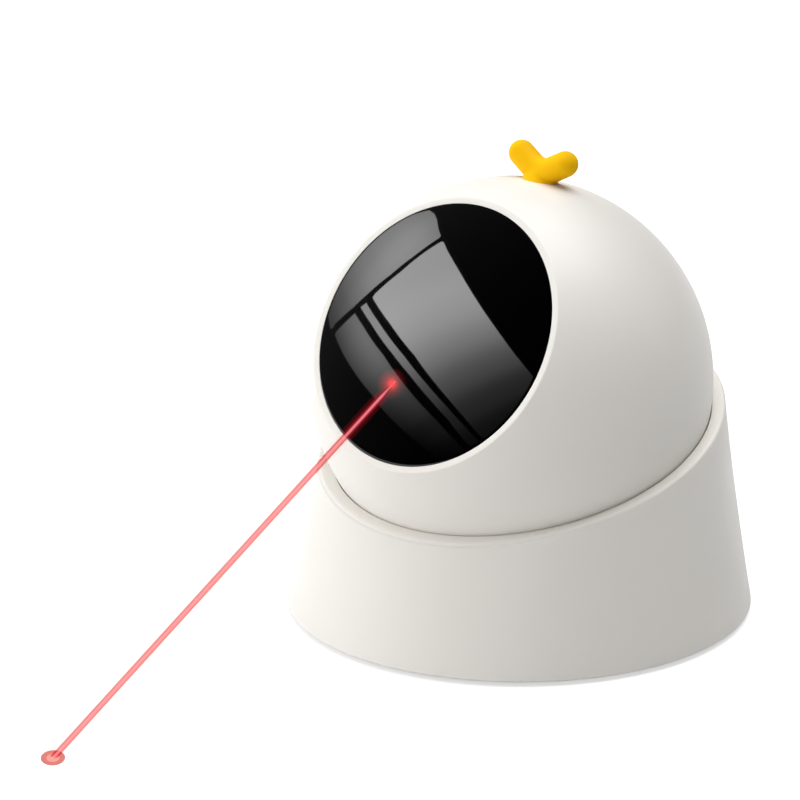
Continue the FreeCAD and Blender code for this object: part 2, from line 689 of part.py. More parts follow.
def motor_saddle():
    """Half-round seat for the swing motor, on its own wing of the chassis plate."""
    motor_y = PIVOT_Y + SWING_DISTANCE
    span = (BEAM_SIDE + SADDLE[0], BEAM_SIDE + SADDLE[1])
    seat = block(span, (motor_y + SADDLE_Y[0], motor_y + SADDLE_Y[1]), (PLATE[0], PIVOT_Z))
    seat = seat.cut(cylinder_x(SWING_MOTOR_R, 0, 40, motor_y, PIVOT_Z))
    for y in widened(SADDLE_Y, -STRAP_SCREW_INSET):
        middle = (span[0] + span[1]) / 2
        seat = seat.cut(cylinder(SMALL_PILOT_R, PLATE[1] + 1, 30, middle, motor_y + y))
    wing = block((BEAM_SIDE + 9.8, BEAM_SIDE + 21), (motor_y + SADDLE_Y[0], 6), PLATE)
    return fused(seat, wing)


def head_chassis():
    """Plate in the head: cheeks on the tilt pins, ears for the laser, a seat for its motor."""
    outline = [(-16, -6), (16, -6), (16, 1), (31, 1), (31, 9), (17, 27)]
    outline += [(-17, 27), (-31, 9), (-31, 1), (-16, 1)]
    plate = prism(outline, *PLATE)
    cheeks = []
    for side in (-1, 1):
        span = sorted((side * CHEEK[0], side * CHEEK[1]))
        cheeks += [block(span, (-6, 6), (0, PLATE[1])), cylinder_x(6, *span)]
    pads = [cylinder(2 * PEG_R, PLATE[1], DRIVER_LEVEL[0], x, y) for x, y in PEG_PLACES]
    pegs = [cylinder(PEG_R, PLATE[1], DRIVER_LEVEL[1] + 0.6, x, y) for x, y in PEG_PLACES]
    turned = [in_laser_unit(piece) for piece in laser_ears() + (motor_saddle(),)]
    chassis = fused(plate, *cheeks, *pads, *pegs, *turned)
    chassis = chassis.cut(cylinder(4, 0, 20, 0, 5)).cut(cylinder_x(PIN_R, -20, 20))
    bearing = cylinder_x(STUB_R + RUNNING_PLAY, -20, 20, PIVOT_Y, PIVOT_Z)
    chassis = chassis.cut(in_laser_unit(bearing))
    slot_span = widened((BEAM_SIDE + SECTOR[0], BEAM_SIDE + SECTOR[1]), 0.3)
    sector_slot = block(slot_span, (-30, -3), (0, 16))
    chassis = chassis.cut(in_laser_unit(sector_slot))
    for x, y in CHASSIS_BOSSES:
        chassis = chassis.cut(cylinder(PILOT_R + 0.1, 0, 20, x, y))
    return in_ball(chassis)


def chassis_screws():
    """Four screws from below that hold the chassis in the upper shell."""
    return [in_ball(screw(x, y, PLATE[0], -1.3, PLATE[1] + 8)) for x, y in CHASSIS_BOSSES]


def tilt_pins():
    """Two shouldered pins through the cheeks, which the fork's eyes run on."""
    pins = []
    for side in (-1, 1):
        shank = cylinder_x(PIN_R, *sorted((side * (ARM[0] - 0.5), side * CHEEK[1])))
        head = cylinder_x(3.4, *sorted((side * CHEEK[1], side * (CHEEK[1] + 1.8))))
        pins.append(in_ball(fused(shank, head)))
    return pins


def driver_board():
    """Small board in the head that switches the laser and its motor."""
    board = block((-9.5, 9.5), (11.5, 26.5), DRIVER_LEVEL)
    for x, y in PEG_PLACES:
        board = board.cut(cylinder(PEG_R, 0, 30, x, y))
    chip = block((-3, 3), (16.5, 22), (DRIVER_LEVEL[1], DRIVER_LEVEL[1] + 1.2))
    return in_ball(fused(board, chip))


def swing_motor():
    """Small motor of the laser's swing, across the head, with a short nose."""
    motor_y = PIVOT_Y + SWING_DISTANCE
    front, back = BEAM_SIDE + SWING_MOTOR[0], BEAM_SIDE + SWING_MOTOR[1]
    can = cylinder_x(SWING_MOTOR_R, front, back, motor_y, PIVOT_Z)
    nose = cylinder_x(2.2, front - 0.6, front, motor_y, PIVOT_Z)
    bore = cylinder_x(SHAFT_R + RUNNING_PLAY, 0, front + 4, motor_y, PIVOT_Z)
    return in_ball(in_laser_unit(fused(can, nose).cut(bore)))


def motor_strap():
    """Strap that holds the swing motor down in its saddle."""
    motor_y = PIVOT_Y + SWING_DISTANCE
    span = (BEAM_SIDE + SADDLE[0], BEAM_SIDE + SADDLE[1])
    bow = cylinder_x(SWING_MOTOR_R + STRAP_THICK, *span, motor_y, PIVOT_Z)
    level = (PIVOT_Z, PIVOT_Z + STRAP_THICK)
    flat = block(span, (motor_y + SADDLE_Y[0], motor_y + SADDLE_Y[1]), level)
    strap = fused(bow, flat).cut(cylinder_x(SWING_MOTOR_R, 0, 40, motor_y, PIVOT_Z))
    strap = strap.cut(block((0, 40), (-30, 30), (0, PIVOT_Z)))
    middle = (span[0] + span[1]) / 2
    for y in widened(SADDLE_Y, -STRAP_SCREW_INSET):
        strap = strap.cut(cylinder(PILOT_R + 0.1, 0, 40, middle, motor_y + y))
    return in_ball(in_laser_unit(strap))


def strap_screws():
    """Two screws of the motor's strap."""
    motor_y = PIVOT_Y + SWING_DISTANCE
    middle = BEAM_SIDE + (SADDLE[0] + SADDLE[1]) / 2
    seat = PIVOT_Z + STRAP_THICK
    places = [(middle, motor_y + y) for y in widened(SADDLE_Y, -STRAP_SCREW_INSET)]
    return [in_ball(in_laser_unit(screw(x, y, seat, 1.2, PLATE[1] + 2, 1.5))) for x, y in places]


def swing_shaft():
    """Shaft of the swing motor."""
    span = (BEAM_SIDE + SECTOR[0] - 0.1, BEAM_SIDE + SWING_MOTOR[0] + 3.9)
    return in_ball(in_laser_unit(cylinder_x(SHAFT_R, *span, PIVOT_Y + SWING_DISTANCE, PIVOT_Z)))


def across(shape, y, z):
    """Piece drawn along Z, laid along X with its tooth at +X now towards +Y."""
    laid = spun(shape, 90)
    laid.rotate(ORIGIN, Y_AXIS, 90)
    return shifted(laid, 0, y, z)


def swing_pinion():
    """Pinion of the swing motor, in mesh with the cradle's sector."""
    pinion = gear(SWING_MODULE, SWING_PINION_TEETH, SECTOR[1] - SECTOR[0])
    pinion = spun(pinion, 180 - 180 / SWING_PINION_TEETH).cut(cylinder(SHAFT_R, -5, 5))
    pinion = across(pinion, PIVOT_Y + SWING_DISTANCE, PIVOT_Z)
    return in_ball(in_laser_unit(shifted(pinion, BEAM_SIDE + SECTOR[0])))


def swing_sector():
    """Sector gear on the cradle's stub axle."""
    wheel = gear(SWING_MODULE, SECTOR_TEETH, SECTOR[1] - SECTOR[0], addendum=0.9)
    reach = 20.0
    half = math.radians(SECTOR_HALF_ANGLE)
    across_reach, side_reach = reach * math.cos(half), reach * math.sin(half)
    wedge = [(0, 0), (across_reach, -side_reach), (across_reach, side_reach)]
    hub = cylinder(STUB_R + 1.8, 0, SECTOR[1] - SECTOR[0])
    sector = fused(wheel.common(prism(wedge, -5, 5)), hub).cut(cylinder(STUB_R, -5, 5))
    sector = across(sector, PIVOT_Y, PIVOT_Z)
    return in_ball(in_laser_unit(shifted(sector, BEAM_SIDE + SECTOR[0])))


def beamed(shape):
    """Piece drawn along Z about the pivot, aimed down the beam from its place in the unit."""
    return shifted(tipped(shape, 90 + BEAM_DOWN), BEAM_SIDE, PIVOT_Y, PIVOT_Z)


def laser_cradle():
    """Sleeve around the laser with a stub axle on each side."""
    sleeve = beamed(cylinder(SLEEVE_R, -4, 4))
    left = cylinder_x(STUB_R, BEAM_SIDE - EAR[1] - 0.2, BEAM_SIDE, PIVOT_Y, PIVOT_Z)
    right = cylinder_x(STUB_R, BEAM_SIDE, BEAM_SIDE + SECTOR[1] + 0.2, PIVOT_Y, PIVOT_Z)
    cradle = fused(sleeve, left, right).cut(beamed(cylinder(LASER_R, -20, 20)))
    return in_ball(in_laser_unit(cradle))


def laser_module():
    """Brass barrel of the laser, with a smaller nose that holds the lens."""
    barrel = cylinder(LASER_R, -LASER_HALF, LASER_HALF - 1.5)
    nose = cylinder(LASER_R - 0.6, LASER_HALF - 1.5, LASER_HALF)
    seat = cylinder(1.6, LASER_HALF - 1.0, LASER_HALF + 1)
    light_way = cylinder(1.1, 0, LASER_HALF + 1)
    return in_ball(in_laser_unit(beamed(fused(barrel, nose).cut(seat.fuse(light_way)))))


def laser_lens():
    """Small round lens in the laser's nose."""
    lens = cylinder(1.6, LASER_HALF - 1.0, LASER_HALF - 0.2)
    return in_ball(in_laser_unit(beamed(lens)))


def battery():
    """Flat rechargeable cell, on edge in its tray."""
    cell = block(CELL_X, CELL_Y, CELL_Z)
    high = CELL_Z[1] - CELL_Z[0]
    upright = [edge for edge in cell.Edges if abs(edge.BoundBox.ZLength - high) < 0.01]
    return cell.makeFillet(1.5, upright)


def main_board():
    """Circuit board that stands at the back of the base."""
    board = block(BOARD_X, BOARD_Y, BOARD_Z)
    for x, z in BOARD_SCREWS:
        board = board.cut(cylinder_y(PILOT_R + 0.1, 0, 50, x, z))
    chip = block((-9, -3), (BOARD_Y[0] - 1.2, BOARD_Y[0]), (12, 18))
    return fused(board, chip)


def board_screws():
    """Two screws that hold the board on the shell's bosses."""
    screws = []
    for x, z in BOARD_SCREWS:
        head = cylinder_y(1.8, BOARD_Y[0] - 1.2, BOARD_Y[0], x, z)
        screws.append(head.fuse(cylinder_y(SMALL_PILOT_R, BOARD_Y[0], BOARD_Y[1] + 3.8, x, z)))
    return screws


def charging_socket():
    """Small oval charging socket: a metal mouth around a tongue."""
    case = round_slot(*PORT_HALF, (BOARD_Y[1], PORT_MOUTH), PORT_Z)
    deep = PORT_MOUTH - 6.2
    mouth = round_slot(PORT_HALF[0] - 0.3, PORT_HALF[1] - 0.3, (deep, PORT_MOUTH + 1), PORT_Z)
    tongue = block(both_ways(3.3), (deep, PORT_MOUTH - 0.8), (PORT_Z - 0.35, PORT_Z + 0.35))
    return case.cut(mouth).fuse(tongue)


def tact_switch():
    """Push switch on the board, with the bore its plunger slides in."""
    body = block((-3, 3), (BOARD_Y[1], SWITCH_TOP), (BUTTON_Z - 3, BUTTON_Z + 3))
    return body.cut(cylinder_y(1.8, BOARD_Y[1] + 0.5, SWITCH_TOP + 1, 0, BUTTON_Z))


def switch_plunger():
    """Plunger of the push switch, pushed by the button."""
    return cylinder_y(1.75, BOARD_Y[1] + 1.2, BUTTON_FLANGE[0], 0, BUTTON_Z)


def power_button():
    """Round button in the back wall, kept in by its flange."""
    cap = cylinder_y(BUTTON_R, BUTTON_FLANGE[1] - 0.1, BUTTON_FACE, 0, BUTTON_Z)
    face_edge = max(cap.Edges, key=lambda edge: edge.BoundBox.YMin)
    cap = cap.makeFillet(0.5, [face_edge])
    return fused(cap, cylinder_y(BUTTON_R + 1, *BUTTON_FLANGE, 0, BUTTON_Z))


def status_light():
    """Small lamp on the board, behind the light guide."""
    depth = (BOARD_Y[1], BOARD_Y[1] + 1.4)
    return block((LIGHT_X - 1.6, LIGHT_X + 1.6), depth, (BUTTON_Z - 1.4, BUTTON_Z + 1.4))


def light_guide():
    """Clear rod that carries the lamp's light through the back wall."""
    start = BOARD_Y[1] + 1.6
    rod = cylinder_y(LIGHT_R, start, LIGHT_END, LIGHT_X, BUTTON_Z)
    return fused(rod, cylinder_y(LIGHT_R + 0.8, start, start + 1, LIGHT_X, BUTTON_Z))


PIECES = (
    base_shell, socket_bowl, bottom_cover, foot_ring, cover_screws, bowl_screws, thrust_washer,
    retaining_washer, retaining_screw, pan_motor, pan_motor_screws, battery, main_board,
    board_screws, charging_socket, tact_switch, status_light, light_guide, power_button,
    switch_plunger, pan_shaft, pan_pinion, turntable, tilt_yoke, yoke_screws, friction_washers,
    ball_upper_shell, ball_lower_shell, shell_screws, window, sprout, head_chassis,
    chassis_screws, tilt_pins, driver_board, swing_motor, motor_strap, strap_screws,
    swing_shaft, swing_pinion, laser_cradle, swing_sector, laser_module, laser_lens,
)


def save_all():
    """Write one STEP file per piece, named after it."""
    os.makedirs("parts", exist_ok=True)
    for piece in PIECES:
        shape = piece()
        if isinstance(shape, list):
            shape = Part.makeCompound(shape)
        shape.exportStep("parts/" + piece.__name__ + ".step")
        print(piece.__name__, len(shape.Solids), round(shape.Volume, 1), shape.isValid())


save_all()
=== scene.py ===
# %% [markdown]
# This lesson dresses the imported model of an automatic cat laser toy: a round base with a
# tilted collar, a ball head with a dark window and a small sprout, and the works inside.
# The frame comes first. It holds every piece at its real size and place, in metres, so each
# new piece is drawn on the same numbers, and nothing is fitted by eye.

# %% Load the frame
import math

import bmesh
import bpy
from mathutils import Matrix, Vector


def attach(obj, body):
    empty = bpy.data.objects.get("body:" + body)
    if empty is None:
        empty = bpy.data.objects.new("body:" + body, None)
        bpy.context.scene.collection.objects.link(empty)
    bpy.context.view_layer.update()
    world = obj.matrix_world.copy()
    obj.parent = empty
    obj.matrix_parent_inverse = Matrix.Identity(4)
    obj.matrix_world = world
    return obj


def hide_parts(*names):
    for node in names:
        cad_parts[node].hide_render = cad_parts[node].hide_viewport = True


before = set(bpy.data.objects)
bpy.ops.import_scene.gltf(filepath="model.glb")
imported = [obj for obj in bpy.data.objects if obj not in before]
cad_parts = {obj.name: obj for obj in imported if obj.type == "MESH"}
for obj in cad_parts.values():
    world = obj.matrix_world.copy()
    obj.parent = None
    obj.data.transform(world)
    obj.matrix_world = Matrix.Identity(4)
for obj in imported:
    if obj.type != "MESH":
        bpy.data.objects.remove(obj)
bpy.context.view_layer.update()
slot_of = {name: node.data.materials[0].name for name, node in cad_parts.items()}

# %% [markdown]
# The toy's own numbers, in millimetres as a maker would note them. The ball's centre is the
# point that most pieces are drawn about: the collar leans 15.3 degrees to the front, and the
# window looks up by 33.1 degrees. The outer shells are turned in fine steps, because their
# outlines are large and show every corner.

# %% Main measures
MM = 0.001
BALL_R = 40.0
BALL_CENTRE = Vector((0.0, -2.7, 48.4))
INNER_R = 38.0
COLLAR_LEAN = 15.3
FACE_ELEVATION = 33.1
FINE_STEPS = 256
print("ball centre", [round(v, 2) for v in BALL_CENTRE], "radius", BALL_R)

# %% [markdown]
# Small helpers for modelling by hand. An operator acts on everything that is selected, so
# each piece starts with nothing selected. Points are picked in code by where they are, as a
# modeller would click them. A piece's place is written into its mesh when it stands right, so
# that patterns on its own coordinates stay where they are.

# %% Selection helpers


def start_fresh():
    """Object mode with nothing selected."""
    if bpy.context.mode != "OBJECT":
        bpy.ops.object.mode_set(mode="OBJECT")
    bpy.ops.object.select_all(action="DESELECT")


def take(piece):
    """Select one piece alone and make it the active one."""
    start_fresh()
    piece.select_set(True)
    bpy.context.view_layer.objects.active = piece
    return piece


def named(name):
    """Give the primitive that was just added its name."""
    piece = bpy.context.object
    piece.name = name
    piece.data.name = name
    return piece


def applied(piece):
    """Write a piece's place, turn and scale into its mesh."""
    take(piece)
    bpy.ops.object.transform_apply(location=True, rotation=True, scale=True)
    return piece


def edit(piece):
    """Open a piece in edit mode."""
    take(piece)
    bpy.ops.object.mode_set(mode="EDIT")
    return piece


def pick(piece, test):
    """In edit mode, select the vertices whose place in millimetres passes the test."""
    bpy.ops.mesh.select_all(action="DESELECT")
    bpy.ops.mesh.select_mode(type="VERT")
    mesh = bmesh.from_edit_mesh(piece.data)
    for vertex in mesh.verts:
        if test(vertex.co / MM):
            vertex.select_set(True)
    mesh.select_flush_mode()
    bmesh.update_edit_mesh(piece.data)


def done():
    """Back to object mode."""
    bpy.ops.object.mode_set(mode="OBJECT")


# %% [markdown]
# Most of this toy is round, so most pieces are turned, as on a lathe. A turned piece starts
# with an outline: (radius, height) points in millimetres, with round stretches as arcs. No
# moulding has a perfectly sharp corner, so corners are eased where they turn by more than a
# little.

# %% Outlines
NEARLY_STRAIGHT = 150.0
SIDE_SHARE = 0.45


def arc(radius, first, last, count, centre=0.0):
    """(radius, height) points along a circle about the axis, by degrees above the level."""
    turns = [math.radians(first + (last - first) * i / count) for i in range(count + 1)]
    return [(radius * math.cos(t), centre + radius * math.sin(t)) for t in turns]


def eased(points, size, cuts=3):
    """An outline whose corners are rounded by about this size, where they turn sharply."""
    soft = [points[0]]
    for before, corner, after in zip(points, points[1:], points[2:]):
        back = Vector(before) - Vector(corner)
        on = Vector(after) - Vector(corner)
        reach = min(size, back.length * SIDE_SHARE, on.length * SIDE_SHARE)
        if back.angle(on) > math.radians(NEARLY_STRAIGHT):
            soft.append(corner)
            continue
        start = Vector(corner) + back.normalized() * reach
        end = Vector(corner) + on.normalized() * reach
        for i in range(cuts + 1):
            t = i / cuts
            mix = start * (1 - t) ** 2 + Vector(corner) * 2 * t * (1 - t) + end * t ** 2
            soft.append(tuple(mix))
    return soft + [points[-1]]


# %% [markdown]
# One vertex is extruded from point to point until it has drawn the outline, and Spin carries
# that outline round. Spin leaves two copies of the first row and many copies of each pole, so
# doubles are merged before the normals are made to point outwards. A Screw modifier could do
# the same, but Spin leaves a plain mesh that can be edited at once.

# %% Turning pieces on the lathe
ROUND_STEPS = 192
MERGE_WITHIN = 0.002


def turned(name, outline, steps=ROUND_STEPS):
    """Piece turned about the Z axis from (radius, height) points in millimetres."""
    start_fresh()
    bpy.ops.mesh.primitive_plane_add(size=MM)
    piece = named(name)
    bpy.ops.object.mode_set(mode="EDIT")
    bpy.ops.mesh.select_all(action="SELECT")
    bpy.ops.mesh.merge(type="CENTER")
    bpy.ops.transform.translate(value=(outline[0][0] * MM, 0, outline[0][1] * MM))
    for here, there in zip(outline, outline[1:]):
        step = ((there[0] - here[0]) * MM, 0, (there[1] - here[1]) * MM)
        bpy.ops.mesh.extrude_vertices_move(TRANSFORM_OT_translate={"value": step})
    bpy.ops.mesh.select_all(action="SELECT")
    bpy.ops.mesh.spin(steps=steps, angle=2 * math.pi, center=(0, 0, 0), axis=(0, 0, 1))
    bpy.ops.mesh.select_all(action="SELECT")
    bpy.ops.mesh.remove_doubles(threshold=MERGE_WITHIN * MM)
    bpy.ops.mesh.normals_make_consistent(inside=False)
    done()
    return piece


def settled(piece, lean=0.0, turn=0.0, at=(0.0, 0.0, 0.0)):
    """Lean a piece to the front, turn it about the upright, move it, and leave it there."""
    piece.rotation_euler = (math.radians(lean), 0, math.radians(turn))
    piece.location = Vector(at) * MM
    return applied(piece)


def smooth(piece, angle=30.0):
    """Smooth shading, with edges sharper than this angle kept crisp."""
    take(piece)
    bpy.ops.object.shade_smooth_by_angle(angle=math.radians(angle))
    return piece


# %% [markdown]
# Some shapes are one form minus another: a hole for a stem, a slot for a socket. The cutter
# is an ordinary closed piece, and a Boolean modifier takes it out and is then applied.

# %% Cutting and joining


def combined(piece, tool, operation="DIFFERENCE"):
    """Apply one closed piece to another and throw the tool away."""
    take(piece)
    modifier = piece.modifiers.new("combine", "BOOLEAN")
    modifier.operation = operation
    modifier.solver = "EXACT"
    modifier.object = tool
    bpy.ops.object.modifier_apply(modifier=modifier.name)
    bpy.data.objects.remove(tool)
    return piece


def joined(first, *others):
    """One object out of several, with the first one's name."""
    take(first)
    for other in others:
        other.select_set(True)
    bpy.ops.object.join()
    return first


def rod(radius, low, high, sides=48, name="rod"):
    """Plain closed cylinder on the Z axis, as a tool for cutting or joining."""
    start_fresh()
    middle = (low + high) / 2 * MM
    bpy.ops.mesh.primitive_cylinder_add(
        vertices=sides, radius=radius * MM, depth=(high - low) * MM, location=(0, 0, middle)
    )
    return applied(named(name))


# %% [markdown]
# Every finish is one Principled shader. Numbers that are the same all over go straight onto
# it. Colours are noted as a screen names them, from 0 to 255, and turned into the renderer's
# own scale, where twice the number is twice the light.

# %% Shader of a finish


def linear(red, green, blue):
    """A colour as it is named on a screen (0 to 255), in the renderer's own scale."""
    scaled = [value / 255 for value in (red, green, blue)]
    return tuple(v / 12.92 if v <= 0.04045 else ((v + 0.055) / 1.055) ** 2.4 for v in scaled)


def new_material(name, colour, roughness, **sockets):
    """A material with one Principled shader, and its node tree to build on."""
    material = bpy.data.materials.new(name)
    material.use_nodes = True
    shader = material.node_tree.nodes["Principled BSDF"]
    shader.inputs["Base Color"].default_value = (*colour, 1)
    shader.inputs["Roughness"].default_value = roughness
    for socket, value in sockets.items():
        shader.inputs[socket.replace("_", " ")].default_value = value
    return material


# %% [markdown]
# A flat colour alone looks like a drawing. Real plastic and metal have a fine grain, so each
# finish gets a bump from noise and a slight change of gloss over larger patches. Both are
# much smaller than the toy, so they only break up the highlights. A picture could be wrapped
# round each piece instead, but noise needs no wrapping and has no seam.

# %% Grain and tint
NOISE_REACH = (0.3, 0.7)


def ranged(tree, source, from_low, from_high, low, high):
    """Turn values between two limits into values between two others."""
    span = tree.nodes.new("ShaderNodeMapRange")
    span.inputs["From Min"].default_value = from_low
    span.inputs["From Max"].default_value = from_high
    span.inputs["To Min"].default_value = low
    span.inputs["To Max"].default_value = high
    tree.links.new(source, span.inputs["Value"])
    return span.outputs["Result"]


def add_noise(material, scale, detail=3.0):
    """Plain noise on the object's own coordinates, in features per metre."""
    tree = material.node_tree
    place = tree.nodes.get("place") or tree.nodes.new("ShaderNodeTexCoord")
    place.name = "place"
    noise = tree.nodes.new("ShaderNodeTexNoise")
    noise.inputs["Scale"].default_value = scale
    noise.inputs["Detail"].default_value = detail
    tree.links.new(place.outputs["Object"], noise.inputs["Vector"])
    return noise.outputs["Fac"]


def noise_between(material, low, high, scale, detail=3.0):
    """The same noise, stretched so that nearly all of it lies from low to high."""
    noise = add_noise(material, scale, detail)
    return ranged(material.node_tree, noise, *NOISE_REACH, low, high)


def grain(material, scale, height, rough_scale=None, rough_low=0.4, rough_high=0.5):
    """Fine bump of this height in metres, and a change of gloss over larger patches."""
    tree = material.node_tree
    shader = tree.nodes["Principled BSDF"]
    bump = tree.nodes.new("ShaderNodeBump")
    bump.inputs["Distance"].default_value = height
    bump.inputs["Strength"].default_value = 1.0
    tree.links.new(add_noise(material, scale), bump.inputs["Height"])
    tree.links.new(bump.outputs["Normal"], shader.inputs["Normal"])
    if rough_scale:
        gloss = noise_between(material, rough_low, rough_high, rough_scale)
        tree.links.new(gloss, shader.inputs["Roughness"])


def tint(material, scale, first, second):
    """Colour that drifts between two close shades in soft patches."""
    tree = material.node_tree
    shader = tree.nodes["Principled BSDF"]
    mix = tree.nodes.new("ShaderNodeMix")
    mix.data_type = "RGBA"
    mix.inputs["A"].default_value = (*first, 1)
    mix.inputs["B"].default_value = (*second, 1)
    tree.links.new(noise_between(material, 0, 1, scale, 2.0), mix.inputs["Factor"])
    tree.links.new(mix.outputs["Result"], shader.inputs["Base Color"])


# %% [markdown]
# The plastics. The shells are a warm white with a satin skin, and what is inside is moulded
# more cheaply, so it is duller and a little darker. The gears are a slick natural plastic,
# and the washers a grey one. The frame's own plain materials go first, so that each finish
# can have its slot's name.

# %% Plastics
for plain in list(bpy.data.materials):
    bpy.data.materials.remove(plain)
shell_white = new_material("shell_white", linear(238, 235, 229), 0.42)
grain(shell_white, 3500, 0.000004, 60, 0.38, 0.46)
tint(shell_white, 25, linear(239, 236, 230), linear(236, 233, 227))

bowl_white = new_material("bowl_white", linear(224, 221, 215), 0.55)
grain(bowl_white, 2500, 0.000006, 50, 0.5, 0.6)

works_white = new_material("works_white", linear(214, 213, 208), 0.5)
grain(works_white, 2500, 0.000006, 70, 0.45, 0.58)

gear_plastic = new_material("gear_plastic", linear(226, 222, 206), 0.38)
grain(gear_plastic, 3000, 0.000004, 80, 0.33, 0.45)

washer_plastic = new_material("washer_plastic", linear(97, 97, 99), 0.45)
grain(washer_plastic, 4000, 0.000003, 90, 0.4, 0.5)
print("plastics", len(bpy.data.materials))

# %% [markdown]
# The window is smoked so dark that it is black, and polished, so nearly all that is seen of
# it is what it mirrors. The sprout is a soft moulding in a strong yellow with little gloss.
# The foot ring and the friction washers are rubbery, with hardly any highlight.

# %% Window, sprout and rubber
window_black = new_material("window_black", (0.0004, 0.0004, 0.0005), 0.03)
grain(window_black, 90, 0.0000004, 30, 0.02, 0.035)

sprout_yellow = new_material("sprout_yellow", linear(245, 190, 0), 0.6, Specular_IOR_Level=0.12)
grain(sprout_yellow, 2200, 0.000006, 120, 0.55, 0.66)
tint(sprout_yellow, 140, linear(246, 191, 0), linear(241, 183, 0))

foot_grey = new_material("foot_grey", linear(92, 92, 94), 0.75)
grain(foot_grey, 2600, 0.00001, 200, 0.68, 0.82)

friction_rubber = new_material("friction_rubber", linear(52, 52, 54), 0.8)
grain(friction_rubber, 3000, 0.000012, 300, 0.72, 0.86)
print("finishes so far", len(bpy.data.materials))

# %% [markdown]
# The metals: zinc-plated screws, drawn motor cans, the charging socket's bent sheet and the
# laser's brass barrel. A metal's colour is the colour of its highlight, so each is fully
# metallic, and its grain is lower than the plastics'.

# %% Metals
screw_steel = new_material("screw_steel", linear(196, 196, 194), 0.3, Metallic=1.0)
grain(screw_steel, 1500, 0.000002, 500, 0.24, 0.38)

motor_steel = new_material("motor_steel", linear(188, 189, 190), 0.34, Metallic=1.0)
grain(motor_steel, 900, 0.000002, 200, 0.28, 0.42)

socket_steel = new_material("socket_steel", linear(182, 183, 184), 0.28, Metallic=1.0)
grain(socket_steel, 1200, 0.000001, 250, 0.22, 0.34)

laser_brass = new_material("laser_brass", linear(206, 170, 96), 0.3, Metallic=1.0)
grain(laser_brass, 1500, 0.000002, 300, 0.24, 0.38)
print("finishes so far", len(bpy.data.materials))

# %% [markdown]
# The clear pieces and the electric ones: the laser's lens and the light guide let light
# through, the board is green lacquer over copper, and the cell is wrapped in foil.

# %% Clear pieces and electric parts
lens_clear = new_material("lens_clear", (0.9, 0.2, 0.18), 0.05, Transmission_Weight=0.8)
grain(lens_clear, 300, 0.0000005)

light_clear = new_material("light_clear", (0.93, 0.94, 0.95), 0.15, Transmission_Weight=0.6)
grain(light_clear, 1200, 0.000002)

board_green = new_material("board_green", linear(24, 92, 58), 0.35)
grain(board_green, 1800, 0.000004, 400, 0.28, 0.42)
tint(board_green, 500, linear(24, 92, 58), linear(30, 104, 66))

switch_black = new_material("switch_black", linear(38, 38, 40), 0.45)
grain(switch_black, 2500, 0.000006, 300, 0.4, 0.52)

cell_foil = new_material("cell_foil", linear(176, 178, 184), 0.32, Metallic=0.7)
grain(cell_foil, 700, 0.00001, 200, 0.26, 0.4)

lamp_white = new_material("lamp_white", linear(236, 236, 220), 0.3)
grain(lamp_white, 2000, 0.000003)
FINISHES = {material.name: material for material in bpy.data.materials}
print("finishes", len(FINISHES))

# %% [markdown]
# A finished piece is given the finish named after its material slot and the body it rides on,
# and the plain nodes that it stands for are hidden.

# %% Hand a piece over


def finished(piece, slot, body, *nodes):
    """Material, body, slot and replaced nodes of a finished piece."""
    piece.data.materials.clear()
    piece.data.materials.append(FINISHES[slot])
    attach(piece, body)
    if nodes:
        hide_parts(*nodes)
    print(piece.name, len(piece.data.polygons), "faces on", body)
    return piece


# %% [markdown]
# The ball's upper shell. On the real toy it is one moulding with a round opening, a shallow
# lip round the opening, and a step behind it that the window is glued to. Because the opening
# is round, the whole shell is turned about the line that looks out of the window: the outside
# from the back to the lip, the lip and the step, and then the inside. A ball could be cut
# with Booleans instead, but the lip's soft edge comes more easily from an outline.

# %% Upper shell of the ball
HOLE_R = 27.05
LEDGE_R = 24.6
LIP_LEVEL = 28.2
LEDGE_LEVEL = 26.2
RING_FLOOR = 24.4
LIP_ROUND = 0.45
LEDGE_ROUND = 0.05
SHORT_OF_LIP = 0.6


def level_on(radius, height):
    """Point of a ball's outline at this height."""
    return math.sqrt(radius ** 2 - height ** 2), height


def angle_on(radius, height):
    """Angle of that point above the ball's middle, in degrees."""
    return math.degrees(math.asin(height / radius))


lip_angle = angle_on(BALL_R, LIP_LEVEL)
lip_edge = BALL_R * math.cos(math.radians(lip_angle))
skin = arc(BALL_R, -90, lip_angle - SHORT_OF_LIP, 96)
ledge = [
    (HOLE_R, LIP_LEVEL), (HOLE_R, LEDGE_LEVEL), (LEDGE_R, LEDGE_LEVEL), (LEDGE_R, RING_FLOOR),
]
lip = eased([skin[-1], (lip_edge, LIP_LEVEL), ledge[0]], LIP_ROUND, 6)
lining = arc(INNER_R, angle_on(INNER_R, RING_FLOOR), -90, 72)
step = eased([lip[-2]] + ledge + lining[:1], LEDGE_ROUND)
upper_shell = turned("head_upper_shell", skin + lip[1:-1] + step[1:] + lining[1:], FINE_STEPS)
settled(upper_shell, lean=90 - FACE_ELEVATION, at=BALL_CENTRE)
print("upper shell", len(upper_shell.data.polygons), "faces before cutting")

# %% [markdown]
# The seam between the two shells is a level cut in the collar's lean, just under the collar,
# so a plane cuts the turned ball there. The sprout's stem needs a hole in the top.

